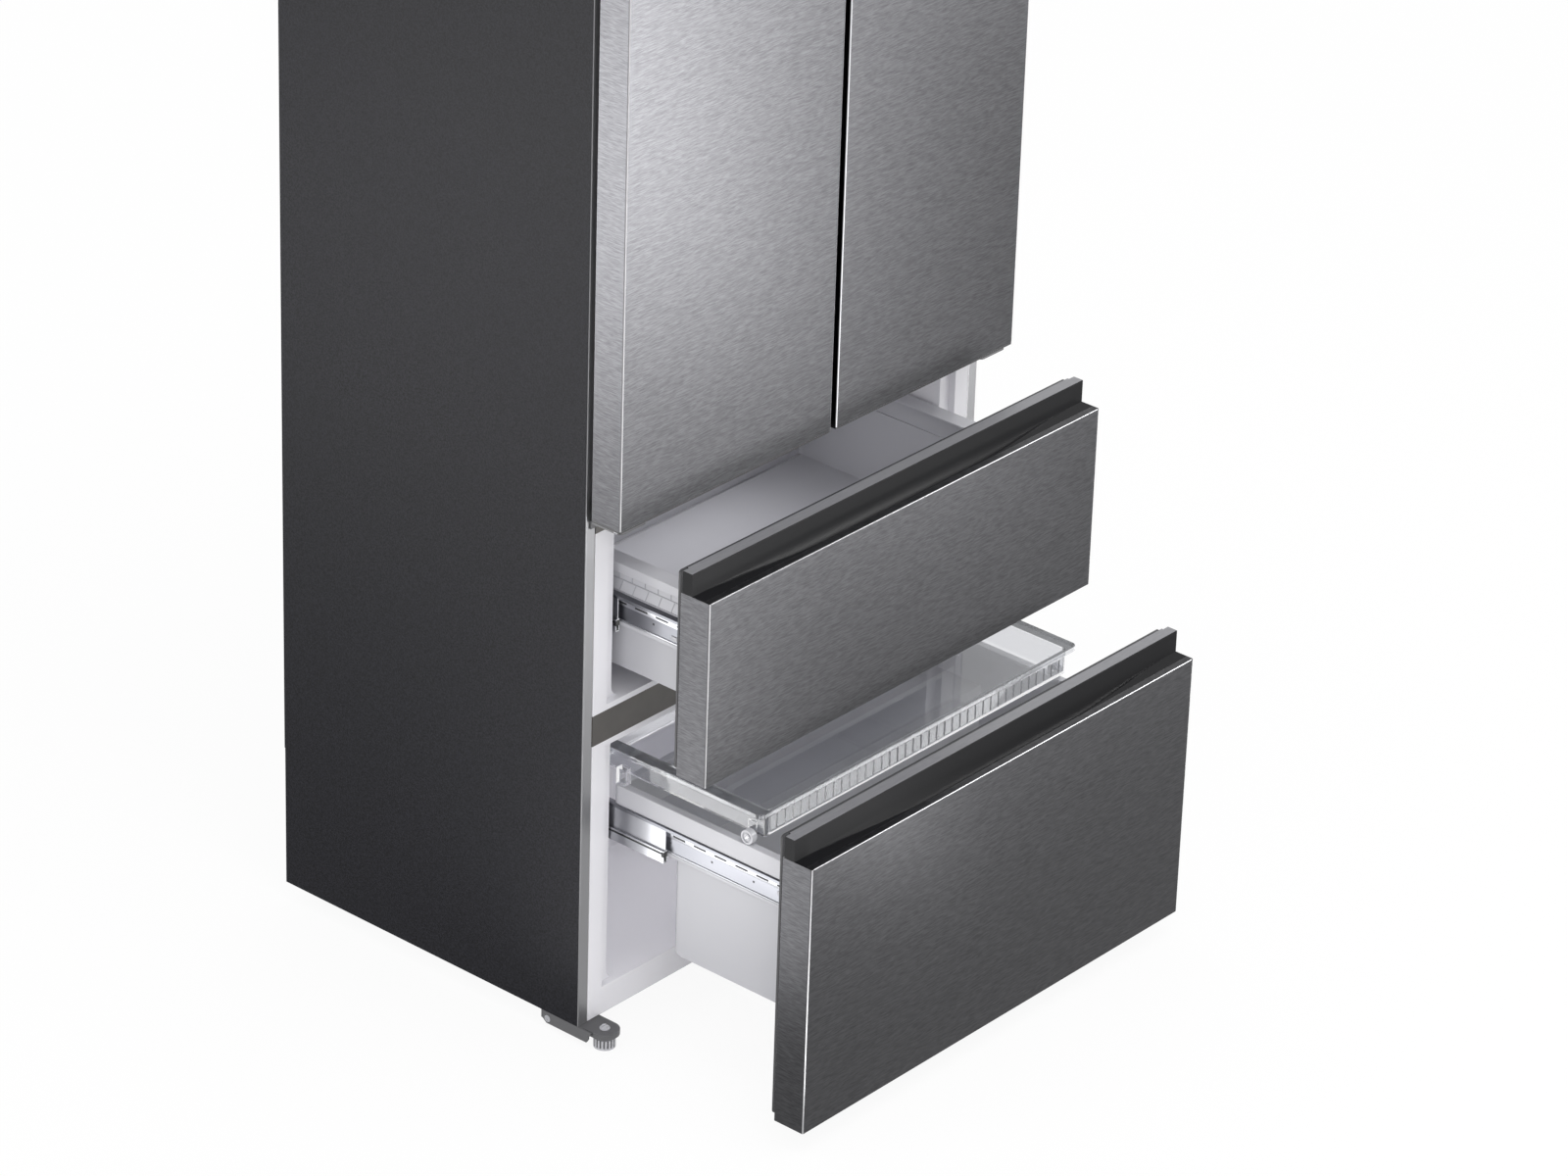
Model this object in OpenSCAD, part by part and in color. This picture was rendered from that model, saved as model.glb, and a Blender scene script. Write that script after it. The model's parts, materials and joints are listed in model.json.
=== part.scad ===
// French-door fridge freezer with two freezer drawers, built as separate pieces.
// Millimetres. +Z is up, -Y is the front, and the floor is z = 0.
// Inside the modules, y = 0 is the front plane of the cabinet; in_frame() moves that
// to its place in the part's frame, whose origin is the middle of the base.

/* [Cabinet] */
// Width of the cabinet, and of the drawer fronts across it
cab_w = 912; // [880:1:940]
// Depth of the cabinet without doors
cab_d = 637; // [630:1:680]
// Height of the cabinet case without its feet
cab_h = 1739; // [1700:1:1800]
// Clear height under the case
foot_h = 31; // [30:1:34]
// Thickness of the steel sheets
sheet_t = 1; // [0.8:0.1:1.4]
// Width of the steel return round the front opening
strip_w = 22; // [18:1:24]
// Outer bend radius of the folded sheets
bend_r = 2.5; // [2:0.1:3]

/* [Liners] */
// Wall thickness of the vacuum-formed liners
liner_t = 2; // [1.5:0.1:2.5]
// Distance from the outer side to the inner edge of the liner flange
flange_in = 53; // [48:1:58]
// Distance from the outer side to the inner face of the liner wall
wall_in = 76; // [72:1:80]
// Depth of the step behind the liner flange
step_d = 12; // [10:1:16]
// Width of the white liner flange above and below a mullion
flange_w = 9.5; // [8:0.5:12]
// Corner radius of the liners
liner_r = 16; // [10:1:24]
// Height of the mullion beams
mullion_h = 52.5; // [48:0.5:56]
// Depth of the mullion beams
mullion_d = 12; // [10:1:12]
// Height of the white kick flange under the lower drawer
kick_h = 49; // [44:1:54]
// Depth of the kick flange's top, in front of the lower floor
kick_d = 45; // [35:1:55]
// Drop from the kick flange's top to the lower floor
kick_drop = 15; // [10:1:17]
// Thickness of the insulation at the back
rear_wall = 77; // [72:1:82]
// Depth of the space for the evaporator, behind its cover
evap_space = 60; // [56:1:70]
// Thickness of the insulation under the top panel
top_wall = 62; // [55:1:70]

/* [Machine compartment] */
// Depth of the machine compartment
bay_d = 292; // [280:1:300]
// Height of the lower compartment above its ceiling
bay_room = 230.75; // [229:0.25:240]
// Insulation between it and the lower freezer
bay_wall = 45; // [40:1:46]

/* [Fronts] */
// Thickness of the doors and drawer fronts
panel_t = 57; // [54:1:60]
// Gap from the cabinet to the back of a closed front, filled by its gasket
front_gap = 11; // [10:0.5:13]
// Distance of the fronts' sides from the cabinet's sides
front_inset = 0.5; // [0:0.1:1]
// Height of the lower drawer's steel above the case bottom
lower_front_z = 8; // [6:1:12]
// Height of the lower drawer's steel front
lower_front_h = 459; // [450:1:468]
// Height of the upper drawer's steel front
upper_front_h = 309; // [300:1:318]
// Height of a handle's back wall above the steel
handle_wall_h = 37; // [30:1:42]
// Gap above a handle, to the next front
front_space = 17; // [15:1:20]
// Distance of the doors' tops below the cabinet's top
door_top_gap = 2; // [1:0.5:6]
// Gap between the doors
door_gap = 12; // [6:1:14]
// Distance of that gap from the middle of the cabinet
door_split = 26.2; // [15:0.1:30]

/* [Handles] */
// Width of the folded steel lip in front of a handle
lip_w = 12.5; // [10:0.5:14]
// Thickness of a handle's back wall
handle_wall_t = 22; // [18:1:24]
// Depth of the finger scoop below the lip
scoop_depth = 34; // [28:1:38]
// Length of a scoop's tapered ends
scoop_taper = 240; // [150:5:300]
// Length of the flat ledge at each end of a scoop
scoop_end = 30; // [20:1:50]
// Radius of the finger undercut behind the lip
scoop_r = 13; // [11:0.5:13.5]

/* [Drawers] */
// How far the upper drawer is pulled out
upper_out = 179; // [100:1:300]
// How far the lower drawer is pulled out
lower_out = 392; // [100:1:430]
// Depth of the upper bin
upper_bin_d = 475; // [440:1:480]
// Depth of the lower bin at its rim
lower_bin_d = 412; // [400:1:425]
// Depth of the lower bin's deep part
lower_well_d = 290; // [250:1:295]
// Distance from the outer side to the bins' rims
rim_in = 84; // [82:0.5:86]
// Wall thickness of the bins and the tray
bin_t = 2.5; // [2:0.1:3]
// Height of the upper bin's rim
upper_rim_h = 16; // [12:1:20]
// Height of the lower bin's box rim
lower_rim_h = 33; // [28:1:36]
// Height of the telescopic rails
rail_h = 45; // [40:1:45]
// Depth of the clear tray
tray_d = 340; // [300:1:350]
// Distance of the clear tray from its drawer's front
tray_back = 115; // [112:1:130]
// Radius of the tray's rollers
tray_roller_r = 11.7; // [10:0.1:12]

/* [Feet and hinges] */
// Radius of the front feet
foot_r = 17.5; // [15:0.5:18.5]
// Distance of the feet's axes from the outer side
foot_in = 27; // [26:1:30]
// Distance of the feet's axes in front of the cabinet
foot_out = 32; // [30:1:34]
// Radius of the feet's stems
stem_r = 5; // [4:0.5:6]
// Radius of the hinge pins
pin_r = 4; // [3:0.5:5]
// Distance of the hinge axes from the outer side
hinge_in = 25.5; // [24:0.5:26.5]
// Radius of the rear rollers
roller_r = 15; // [13:0.5:15]
// Radial clearance of pins, stems and axles
fit = 0.05; // [0.03:0.01:0.09]
// Height of the covers over the top hinges
hinge_cover_h = 15; // [14:1:20]

/* [Hidden] */
$fn = 64;

// Colours as seen
case_grey = "#36363a";
strip_grey = "#4c4c4e";
steel = "#8b8b8d";
zinc = "#b9babd";
white = "#efeef2";
clear = "#dfe4e8";
charcoal = "#3a3a3d";
black = "#18181a";
rubber = "#8e8e92";
foam_cream = "#d9cfa6";
copper = "#b87a50";

// Cabinet
half_w = cab_w / 2;
case_z = foot_h;
top_z = foot_h + cab_h;
case_x = half_w - sheet_t;
base_t = 1.5;
return_lip = 8;
strip_x = half_w - strip_w;
mouth_x = half_w - flange_in;
wall_x = half_w - wall_in;
step_w = mouth_x - wall_x;
mouth_w = strip_x - mouth_x;
side_flange = strip_x - wall_x;
rear_y = cab_d - sheet_t;
fridge_back = cab_d - rear_wall;
freezer_back = fridge_back - evap_space;
bay_y = cab_d - bay_d;
hump_y = bay_y - bay_wall - liner_t;
cover_x = case_x - 1;
cut = 1;

// Fronts
lower_z0 = case_z + lower_front_z;
lower_z1 = lower_z0 + lower_front_h;
upper_z0 = lower_z1 + handle_wall_h + front_space;
upper_z1 = upper_z0 + upper_front_h;
door_z0 = upper_z1 + handle_wall_h + front_space;
door_z1 = top_z - door_top_gap;
front_x = half_w - front_inset;
door_split_left = door_split - door_gap / 2;
door_split_right = door_split + door_gap / 2;
door_back = -front_gap;
door_front = door_back - panel_t;
upper_back = -(front_gap + upper_out);
upper_front = upper_back - panel_t;
lower_back = -(front_gap + lower_out);
lower_front = lower_back - panel_t;
return_w = 12;
lip_h = 5;
scoop_side_r = 11;
cap_z = 3;
cap_plug = 24;
hinge_pin_l = 20;
frame_y = (-lower_front - cab_d) / 2;

// Mullions and the mouths between them
freezer_mull_z = upper_z0 - front_space / 2 - mullion_h / 2;
fridge_mull_z = door_z0 - front_space / 2 - mullion_h / 2;
lower_mouth = [case_z + kick_h, freezer_mull_z - flange_w];
lower_floor = lower_mouth[0] - kick_drop;
bay_z = lower_mouth[1] - bay_room;
hump_z = bay_z + bay_wall + liner_t;
upper_mouth = [freezer_mull_z + mullion_h + flange_w, fridge_mull_z - flange_w];
fridge_mouth = [fridge_mull_z + mullion_h + flange_w, top_z - top_wall];
post_x = [door_split - mullion_h / 2, door_split + mullion_h / 2];
left_cavity_x = [-wall_x, post_x[0] - flange_w];
right_cavity_x = [post_x[1] + flange_w, wall_x];

// Fans and the machines beside them
fan_z = upper_mouth[0] + 185;
condenser_x = -case_x + 55;
condenser_w = 280;
fan_x = condenser_x + condenser_w + 32;
compressor_x = case_x - 215;
pan_x = condenser_x + 10;
pan_w = 260;
bay_fan_z = bay_z - 118;

// Gaskets
gasket_w = 16;
gasket_gap = 0.4;
gasket_edge = 6;
hinge_edge = 21.5;

// Telescopic rails: u runs from the liner wall to the bin, and v up from the drawer member
rail_u = 16;
rail_x = wall_x - rail_u;
rail_t = 1.6;
upper_rim_z = upper_mouth[1] - 65;
lower_rim_z = lower_mouth[1] - 82;
band_h = 32;
upper_rail_z = upper_rim_z - upper_rim_h - band_h - 6 - rail_h;
lower_rail_z = lower_rim_z - lower_rim_h - 1 - rail_h;
drawer_rail_l = 450;
mid_rail_l = 388;
mid_rail_closed = 97;
fixed_rail_y = [20, 490];
bin_gap = 2;

// Bins
rim_x = half_w - rim_in;
upper_rim_w = 30;
lower_rim_w = 14;
upper_bin_z = upper_mouth[0] + 48;
lower_bin_z = lower_mouth[0] + 91;
shelf_bin_z = lower_rail_z + 4;
upper_bin_y = [upper_back + bin_gap, upper_back + bin_gap + upper_bin_d];
lower_bin_y = [lower_back + bin_gap, lower_back + bin_gap + lower_bin_d];
band_x = rim_x - 2;

// Clear tray on the lower bin's rim
tray_z = lower_rim_z + 16;
tray_rim_z = lower_rim_z + 64;
tray_x = rim_x - lower_rim_w - 2;
tray_rim_x = wall_x - 3;
tray_y = [lower_back + tray_back, lower_back + tray_back + tray_d];
tray_slots = 36;
tray_slot_w = 2.6;
tray_slot_h = 24;
tray_roller_y = [tray_y[0] + 30, lower_bin_y[1] - 12];

// Feet and rear rollers
foot_x = half_w - foot_in;
roller_x = half_w - 45;
roller_y = cab_d - 60;

// Hinges
hinge_x = half_w - hinge_in;
hinge_y = -(front_gap + panel_t / 2 - 1.5);
hinge_plate_z = door_z0 - cap_z - 8;
hinge_plate_t = 4;

// Fridge interior
shelf_levels = [for (i = [0:2]) fridge_mouth[0] + 198 + i * (fridge_mouth[1] - fridge_mouth[0] - 198) / 3];
shelf_y = [125, fridge_back - 20];
glass_t = 4;
rib_h = 6;
rib_w = 8;
crisper_y = [130, fridge_back - 40];
crisper_gap = 4;
bin_h = 105;
bin_floor = 36;
bin_headroom = 140.75;
bin_pitch = (fridge_mouth[1] - fridge_mouth[0] - bin_floor - bin_h - bin_headroom) / 2;
bin_levels = [for (i = [0:2]) fridge_mouth[0] + bin_floor + i * bin_pitch];
bin_depths = [70, 112, 112];
dyke_w = 22;
dyke_x = wall_x - 5;
dyke_y = 35;

module in_frame() {
    translate([0, frame_y, 0]) children();
}

module both_sides() {
    children();
    mirror([1, 0, 0]) children();
}

module block(lo, hi) {
    translate(lo) cube(hi - lo);
}

// Solids from a drawing in the plane across one axis
module along_x(x0, x1) {
    translate([x0, 0, 0]) rotate([90, 0, 90]) linear_extrude(x1 - x0) children();
}

module along_y(y0, y1) {
    translate([0, y1, 0]) rotate([90, 0, 0]) linear_extrude(y1 - y0) children();
}

module along_z(z0, z1) {
    translate([0, 0, z0]) linear_extrude(z1 - z0) children();
}

module rect(lo, hi) {
    translate(lo) square(hi - lo);
}

module rounded_rect(lo, hi, r) {
    rect([lo.x + r, lo.y], [hi.x - r, hi.y]);
    rect([lo.x, lo.y + r], [hi.x, hi.y - r]);
    for (x = [lo.x + r, hi.x - r], y = [lo.y + r, hi.y - r])
        translate([x, y]) circle(r);
}

// A sheet with folded front corners, seen from above: x0..x1 wide, front at y0
module folded_plan(x0, x1, y0, y1, r) {
    rect([x0, y0 + r], [x1, y1]);
    rect([x0 + r, y0], [x1 - r, y1]);
    for (x = [x0 + r, x1 - r]) translate([x, y0 + r]) circle(r);
}

module ring(lo, hi, w, r) {
    difference() {
        rounded_rect(lo, hi, r);
        rounded_rect([lo.x + w, lo.y + w], [hi.x - w, hi.y - w], max(r - w, 1));
    }
}

// Outer case

// Right side: the wall, the front return and its inner lip
module side_sheet() {
    lip = return_lip;
    along_z(case_z, top_z) difference() {
        folded_plan(strip_x, half_w, 0, rear_y, bend_r);
        rect([strip_x + sheet_t, sheet_t], [half_w - sheet_t, cab_d]);
        rect([strip_x - cut, lip], [half_w - sheet_t, cab_d]);
    }
}

module left_side_panel() {
    color(case_grey) in_frame() mirror([1, 0, 0]) side_sheet();
}

module right_side_panel() {
    color(case_grey) in_frame() side_sheet();
}

module top_panel() {
    color(case_grey) in_frame() {
        block([-case_x, mullion_d, top_z - sheet_t], [case_x, rear_y, top_z]);
        block([-strip_x, 0, top_z - sheet_t], [strip_x, mullion_d, top_z]);
        block([-strip_x, 0, top_z - strip_w], [strip_x, sheet_t, top_z - sheet_t]);
        both_sides() block([strip_x + sheet_t, sheet_t, top_z - sheet_t], [case_x, mullion_d, top_z]);
    }
}

// Back sheet with pressed ribs that stand into the insulation
module back_panel() {
    rib_pitch = 170;
    rib_r = 4;
    color(case_grey) in_frame() {
        difference() {
            union() {
                block([-half_w, rear_y, bay_z], [half_w, cab_d, top_z]);
                for (i = [-2:2]) translate([i * rib_pitch, rear_y, bay_z + 80])
                    cylinder(r = rib_r + sheet_t, h = top_z - bay_z - 160);
            }
            block([-half_w - cut, cab_d, 0], [half_w + cut, cab_d + rib_r + 10, top_z + cut]);
            for (i = [-2:2]) translate([i * rib_pitch, cab_d, bay_z + 80])
                cylinder(r = rib_r, h = top_z - bay_z - 160);
        }
    }
}

// Bottom sheet, with the front wall and the ceiling of the machine compartment
module base_chassis() {
    color(zinc) in_frame() {
        block([-strip_x, sheet_t, case_z], [strip_x, cab_d - 2, case_z + base_t]);
        block([-case_x, return_lip, case_z], [case_x, cab_d - 2, case_z + base_t]);
        block([-case_x, bay_y - base_t, case_z + base_t], [case_x, bay_y, bay_z]);
        block([-case_x, bay_y, bay_z - base_t], [case_x, cab_d - 2, bay_z]);
    }
}

// Dark beams between the four openings
module front_mullions() {
    color(case_grey) in_frame() {
        for (z = [freezer_mull_z, fridge_mull_z])
            along_x(-strip_x, strip_x) difference() {
                rect([0, z], [mullion_d, z + mullion_h]);
                rect([sheet_t, z + sheet_t], [mullion_d + cut, z + mullion_h - sheet_t]);
            }
        along_z(fridge_mull_z + mullion_h, top_z - strip_w) difference() {
            rect([post_x[0], 0], [post_x[1], mullion_d]);
            rect([post_x[0] + sheet_t, sheet_t], [post_x[1] - sheet_t, mullion_d + cut]);
        }
    }
}

// Liners: a front flange, a step on the outer sides, then the compartment's walls

module liner_flange(x, z, out_x, out_z, in_x) {
    lo = [x[0] - in_x[0], z[0]];
    hi = [x[1] + in_x[1], z[1]];
    along_y(0, liner_t) difference() {
        rect([x[0] - out_x[0], z[0] - out_z[0]], [x[1] + out_x[1], z[1] + out_z[1]]);
        rect(lo, hi);
    }
    along_y(liner_t - 0.5, step_d + liner_t) difference() {
        rect(lo - [liner_t, liner_t], hi + [liner_t, liner_t]);
        rect(lo, hi);
    }
    along_y(step_d, step_d + liner_t) difference() {
        rect(lo - [1, 1], hi + [1, 1]);
        rounded_rect([x[0], z[0]], [x[1], z[1]], liner_r);
    }
}

module liner_outside(x, z, back) {
    along_y(step_d, back + liner_t)
        rounded_rect([x[0] - liner_t, z[0] - liner_t], [x[1] + liner_t, z[1] + liner_t],
            liner_r + liner_t);
}

module liner_inside(x, z, back) {
    along_y(-cut, back) rounded_rect([x[0], z[0]], [x[1], z[1]], liner_r);
}

// Ledges on the side walls, which carry the glass shelves
module shelf_ledges(x) {
    for (z = shelf_levels, i = [0, 1])
        block([i == 0 ? x[0] - cut : x[1] - rib_w, shelf_y[0], z - rib_h],
            [i == 0 ? x[0] + rib_w : x[1] + cut, shelf_y[1], z]);
}

module fridge_liner(x, side) {
    inner = [side < 0 ? step_w : 0, side > 0 ? step_w : 0];
    outer = [side < 0 ? step_w + mouth_w : flange_w, side > 0 ? step_w + mouth_w : flange_w];
    liner_flange(x, fridge_mouth, outer, [flange_w, top_wall - strip_w], inner);
    difference() {
        liner_outside(x, fridge_mouth, fridge_back);
        liner_inside(x, fridge_mouth, fridge_back);
    }
    shelf_ledges(x);
}

module left_fridge_liner() {
    color(white) in_frame() fridge_liner(left_cavity_x, -1);
}

module right_fridge_liner() {
    color(white) in_frame() fridge_liner(right_cavity_x, 1);
}

module upper_freezer_liner() {
    color(white) in_frame() {
        liner_flange([-wall_x, wall_x], upper_mouth, [side_flange, side_flange],
            [flange_w, flange_w], [step_w, step_w]);
        difference() {
            liner_outside([-wall_x, wall_x], upper_mouth, fridge_back);
            liner_inside([-wall_x, wall_x], upper_mouth, fridge_back);
        }
    }
}

// The lower compartment steps up at the back, over the machine compartment
module lower_outside() {
    difference() {
        union() {
            liner_outside([-wall_x, wall_x], lower_mouth, freezer_back);
            block([-wall_x - liner_t, kick_d, lower_floor - liner_t],
                [wall_x + liner_t, freezer_back + liner_t, lower_mouth[0] + liner_r]);
        }
        block([-half_w, hump_y + liner_t, 0], [half_w, cab_d, hump_z - liner_t]);
    }
}

module lower_inside() {
    difference() {
        union() {
            liner_inside([-wall_x, wall_x], lower_mouth, freezer_back);
            block([-wall_x, kick_d + liner_t, lower_floor],
                [wall_x, freezer_back, lower_mouth[0] + liner_r + cut]);
        }
        block([-half_w, hump_y, 0], [half_w, cab_d, hump_z]);
    }
}

module lower_freezer_liner() {
    color(white) in_frame() {
        liner_flange([-wall_x, wall_x], lower_mouth, [side_flange, side_flange],
            [kick_h - base_t, flange_w], [step_w, step_w]);
        difference() {
            lower_outside();
            lower_inside();
        }
    }
}

// Insulation between the case and the liners
module cabinet_foam() {
    front = step_d + liner_t;
    color(foam_cream) in_frame() difference() {
        block([-case_x, front, case_z + base_t], [case_x, rear_y, top_z - sheet_t]);
        block([-half_w, bay_y - base_t, 0], [half_w, cab_d, bay_z]);
        liner_outside(left_cavity_x, fridge_mouth, fridge_back);
        liner_outside(right_cavity_x, fridge_mouth, fridge_back);
        liner_outside([-wall_x, wall_x], upper_mouth, fridge_back);
        lower_outside();
        for (i = [-2:2]) translate([i * 170, rear_y, bay_z + 79])
            cylinder(r = 6, h = top_z - bay_z - 158);
    }
}

// Hinges

// Plate on the case top, with an arm over the door and a pin down into it
module top_hinges() {
    color(zinc) in_frame() both_sides() difference() {
        union() {
            along_z(top_z, top_z + 3) {
                rounded_rect([hinge_x - 62, 12], [hinge_x + 12, 78], 6);
                rounded_rect([hinge_x - 12, hinge_y - 12], [hinge_x + 12, 30], 11.9);
            }
            translate([hinge_x, hinge_y, door_z1 - hinge_pin_l]) cylinder(r = pin_r,
                h = top_z - door_z1 + hinge_pin_l + 1);
        }
        for (x = [hinge_x - 50, hinge_x - 8]) translate([x, 60, top_z - cut])
            cylinder(r = 3.2, h = 5);
    }
}

module hinge_cover_plan(inset) {
    rounded_rect([hinge_x - 70 + inset, 4 + inset], [hinge_x + 19 - inset, 88 - inset], 10 - inset);
    rounded_rect([hinge_x - 20 + inset, hinge_y - 20 + inset], [hinge_x + 19 - inset, 60], 12 - inset);
}

module top_hinge_covers() {
    color(case_grey) in_frame() both_sides() difference() {
        along_z(top_z, top_z + hinge_cover_h) hinge_cover_plan(0);
        along_z(top_z - cut, top_z + hinge_cover_h - 2) hinge_cover_plan(2);
    }
}

// Plates between the doors and the upper drawer, with the doors' lower pins
module centre_hinges() {
    color(case_grey) in_frame() both_sides() {
        z = hinge_plate_z;
        along_z(z, z + hinge_plate_t) difference() {
            union() {
                rounded_rect([half_w - 68, hinge_y - 24], [half_w - 8, -20], 8);
                rect([half_w - 68, -40], [half_w - 8, 0]);
            }
            translate([half_w - 52, hinge_y - 8]) circle(r = 3.2);
        }
        block([half_w - 68, -3, z - 10], [half_w - 8, 0, z]);
        translate([hinge_x, hinge_y, z + hinge_plate_t - 1])
            cylinder(r = pin_r, h = door_z0 - z - hinge_plate_t + 1 + hinge_pin_l);
        translate([hinge_x, hinge_y, z + hinge_plate_t - 1])
            cylinder(r = pin_r + 5, h = door_z0 - cap_z - z - hinge_plate_t + 0.7);
    }
}

// Feet and rollers

// The rounded nose of a front bracket, seen from above
module nose_plan(inset) {
    rounded_rect([half_w - 50 + inset, -foot_out - 23 + inset], [half_w - 4 - inset, 30], 21 - inset);
}

// Front plate with its side tab, and the rear roller's fork
module foot_brackets() {
    color(zinc) in_frame() both_sides() difference() {
        union() {
            along_z(case_z - 3, case_z) {
                nose_plan(0);
                rect([half_w - 50, -8], [half_w, 77]);
            }
            along_z(case_z - 9, case_z) difference() {
                nose_plan(0);
                nose_plan(2.5);
                rect([0, -6], [half_w + 10, 100]);
            }
            along_x(half_w - 3, half_w) {
                rect([-22, case_z - 14], [77, case_z]);
                polygon([[-18, case_z - 20.5], [-22, case_z - 14], [-22, case_z - 9],
                    [-27, case_z - 5], [-27, case_z], [0, case_z], [0, case_z - 20.5]]);
                rect([-1, case_z - 20.5], [60, case_z - 9]);
                polygon([[59, case_z - 20.5], [66, case_z - 20.5], [77, case_z - 12],
                    [77, case_z - 9], [59, case_z - 9]]);
            }
            block([roller_x - 12, roller_y - 26, case_z - 3], [roller_x + 12, roller_y + 26, case_z]);
            for (x = [roller_x - 12, roller_x + 10])
                along_x(x, x + 2) rounded_rect([roller_y - 12, roller_r - 9],
                    [roller_y + 12, case_z - 1], 8.9);
            translate([roller_x - 13.5, roller_y, roller_r]) rotate([0, 90, 0])
                cylinder(r = 4, h = 27);
        }
        translate([foot_x, -foot_out, 0]) cylinder(r = stem_r + fit, h = 60);
        block([roller_x - 9, roller_y - 19, case_z - 4], [roller_x + 9, roller_y + 19, case_z + 1]);
        translate([half_w - 1.6, 64, case_z - 12]) rotate([0, 90, 0]) cylinder(r = 6.3, h = 5);
    }
}

// Levelling foot: a ribbed pad with a threaded stem up through its bracket
module front_foot() {
    translate([foot_x, -foot_out, 0]) {
        difference() {
            cylinder(r = foot_r, h = 17);
            for (i = [0:17]) rotate([0, 0, i * 20]) translate([foot_r + 0.9, 0, 3])
                cylinder(r = 2, h = 20);
        }
        cylinder(r = foot_r - 3, h = 21);
        difference() {
            cylinder(r = stem_r, h = case_z + 5);
            translate([-5, -0.9, case_z + 3.4]) cube([10, 1.8, 3]);
        }
    }
}

module left_front_foot() {
    color(white) in_frame() mirror([1, 0, 0]) front_foot();
}

module right_front_foot() {
    color(white) in_frame() front_foot();
}

module rear_roller() {
    translate([roller_x - 8, roller_y, roller_r]) rotate([0, 90, 0]) difference() {
        union() {
            cylinder(r = roller_r, h = 16);
        }
        translate([0, 0, -cut]) cylinder(r = 4 + fit, h = 20);
        for (z = [-cut, 13]) translate([0, 0, z]) difference() {
            cylinder(r = roller_r - 3, h = 4);
            cylinder(r = 7, h = 9, center = true);
        }
    }
}

module left_rear_roller() {
    color(black) in_frame() mirror([1, 0, 0]) rear_roller();
}

module right_rear_roller() {
    color(black) in_frame() rear_roller();
}

// Screw head with a cross recess, pointing up
module screw_head(r, h) {
    difference() {
        cylinder(r = r, h = h);
        for (a = [0, 90]) rotate([0, 0, a]) translate([-r * 0.6, -0.5, h - 0.8])
            cube([r * 1.2, 1, 2]);
    }
}

module case_screws() {
    color(zinc) in_frame() {
        both_sides() {
            translate([half_w - 1.6, 64, case_z - 12]) rotate([0, 90, 0]) screw_head(6, 1.6);
            for (x = [hinge_x - 50, hinge_x - 8]) translate([x, 60, top_z + 3])
                screw_head(5.5, 2.5);
            for (z = [case_z + 22, bay_z - 22]) translate([cover_x - 9, cab_d - 3.5, z])
                rotate([-90, 0, 0]) screw_head(4.5, 2);
        }
    }
}

// Telescopic rails, drawn on the right side: u from the liner wall, v from the drawer member

module rail_profile(kind) {
    if (kind == "fixed") {
        rect([0, -20], [rail_t, 26]);
        rect([0, -20], [12.8, -20 + rail_t]);
        rect([12.8 - rail_t, -20], [12.8, -12]);
        rect([0, 26 - rail_t], [5.4, 26]);
    }
    if (kind == "middle") {
        difference() {
            rect([3, -17], [10.6, 4]);
            rect([3 + rail_t, -17 + rail_t], [10.6 - rail_t, 4 - rail_t]);
        }
        rect([6.4, 4 - rail_t], [6.4 + rail_t, 40]);
        rect([6.4, 40 - rail_t], [12.5, 40]);
    }
    if (kind == "drawer") {
        rect([rail_u - rail_t, 0], [rail_u, rail_h]);
        rect([5, rail_h - rail_t], [rail_u, rail_h]);
        rect([5, rail_h - 5], [5 + rail_t, rail_h]);
        rect([12, 0], [rail_u, rail_t]);
    }
}

module rail(kind, z, y0, y1) {
    translate([wall_x, 0, z]) mirror([1, 0, 0]) along_y(y0, y1) rail_profile(kind);
}

module fixed_rails() {
    color(zinc) in_frame() both_sides() for (z = [upper_rail_z, lower_rail_z])
        rail("fixed", z, fixed_rail_y[0], fixed_rail_y[1]);
}

// A middle member with the black bumper on its front end
module mid_rails(z, out) {
    y = mid_rail_closed - out / 2;
    both_sides() rail("middle", z, y, y + mid_rail_l);
}

module upper_mid_rails() {
    color(zinc) in_frame() mid_rails(upper_rail_z, upper_out);
}

module lower_mid_rails() {
    color(zinc) in_frame() mid_rails(lower_rail_z, lower_out);
}

// A drawer member, slotted along its web, with the plate that bolts it to the front
module drawer_rails(z, back) {
    both_sides() {
        difference() {
            rail("drawer", z, back, back + drawer_rail_l);
            for (y = [back + 60 : 42 : back + 300])
                along_x(rail_x - cut, rail_x + 3) rounded_rect([y, z + 30], [y + 22, z + 35], 2.4);
        }
        along_y(back, back + bin_gap) rounded_rect([rail_x - 26, z], [rail_x + 8, z + 38], 4);
    }
}

module upper_drawer_rails() {
    color(zinc) in_frame() drawer_rails(upper_rail_z, upper_back);
}

module lower_drawer_rails() {
    color(zinc) in_frame() drawer_rails(lower_rail_z, lower_back);
}

// Compartment interiors

module crisper(x) {
    lo = [x[0] + rib_w, crisper_y[0], fridge_mouth[0] + crisper_gap];
    hi = [x[1] - rib_w, crisper_y[1], shelf_levels[0] - rib_h - crisper_gap];
    tub(lo, hi, bin_t, 12, 8);
    for (x0 = [lo.x + 20, hi.x - 26])
        block([x0, lo.y + 20, fridge_mouth[0]], [x0 + 6, hi.y - 20, lo.z + 1]);
    block([lo.x + 30, lo.y - 8, hi.z - 16], [hi.x - 30, lo.y + 1, hi.z - 12]);
    block([lo.x + 30, lo.y - 8, hi.z - 26], [hi.x - 30, lo.y - 5, hi.z - 12]);
}

module left_crisper() {
    color(clear) in_frame() crisper(left_cavity_x);
}

module right_crisper() {
    color(clear) in_frame() crisper(right_cavity_x);
}

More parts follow.
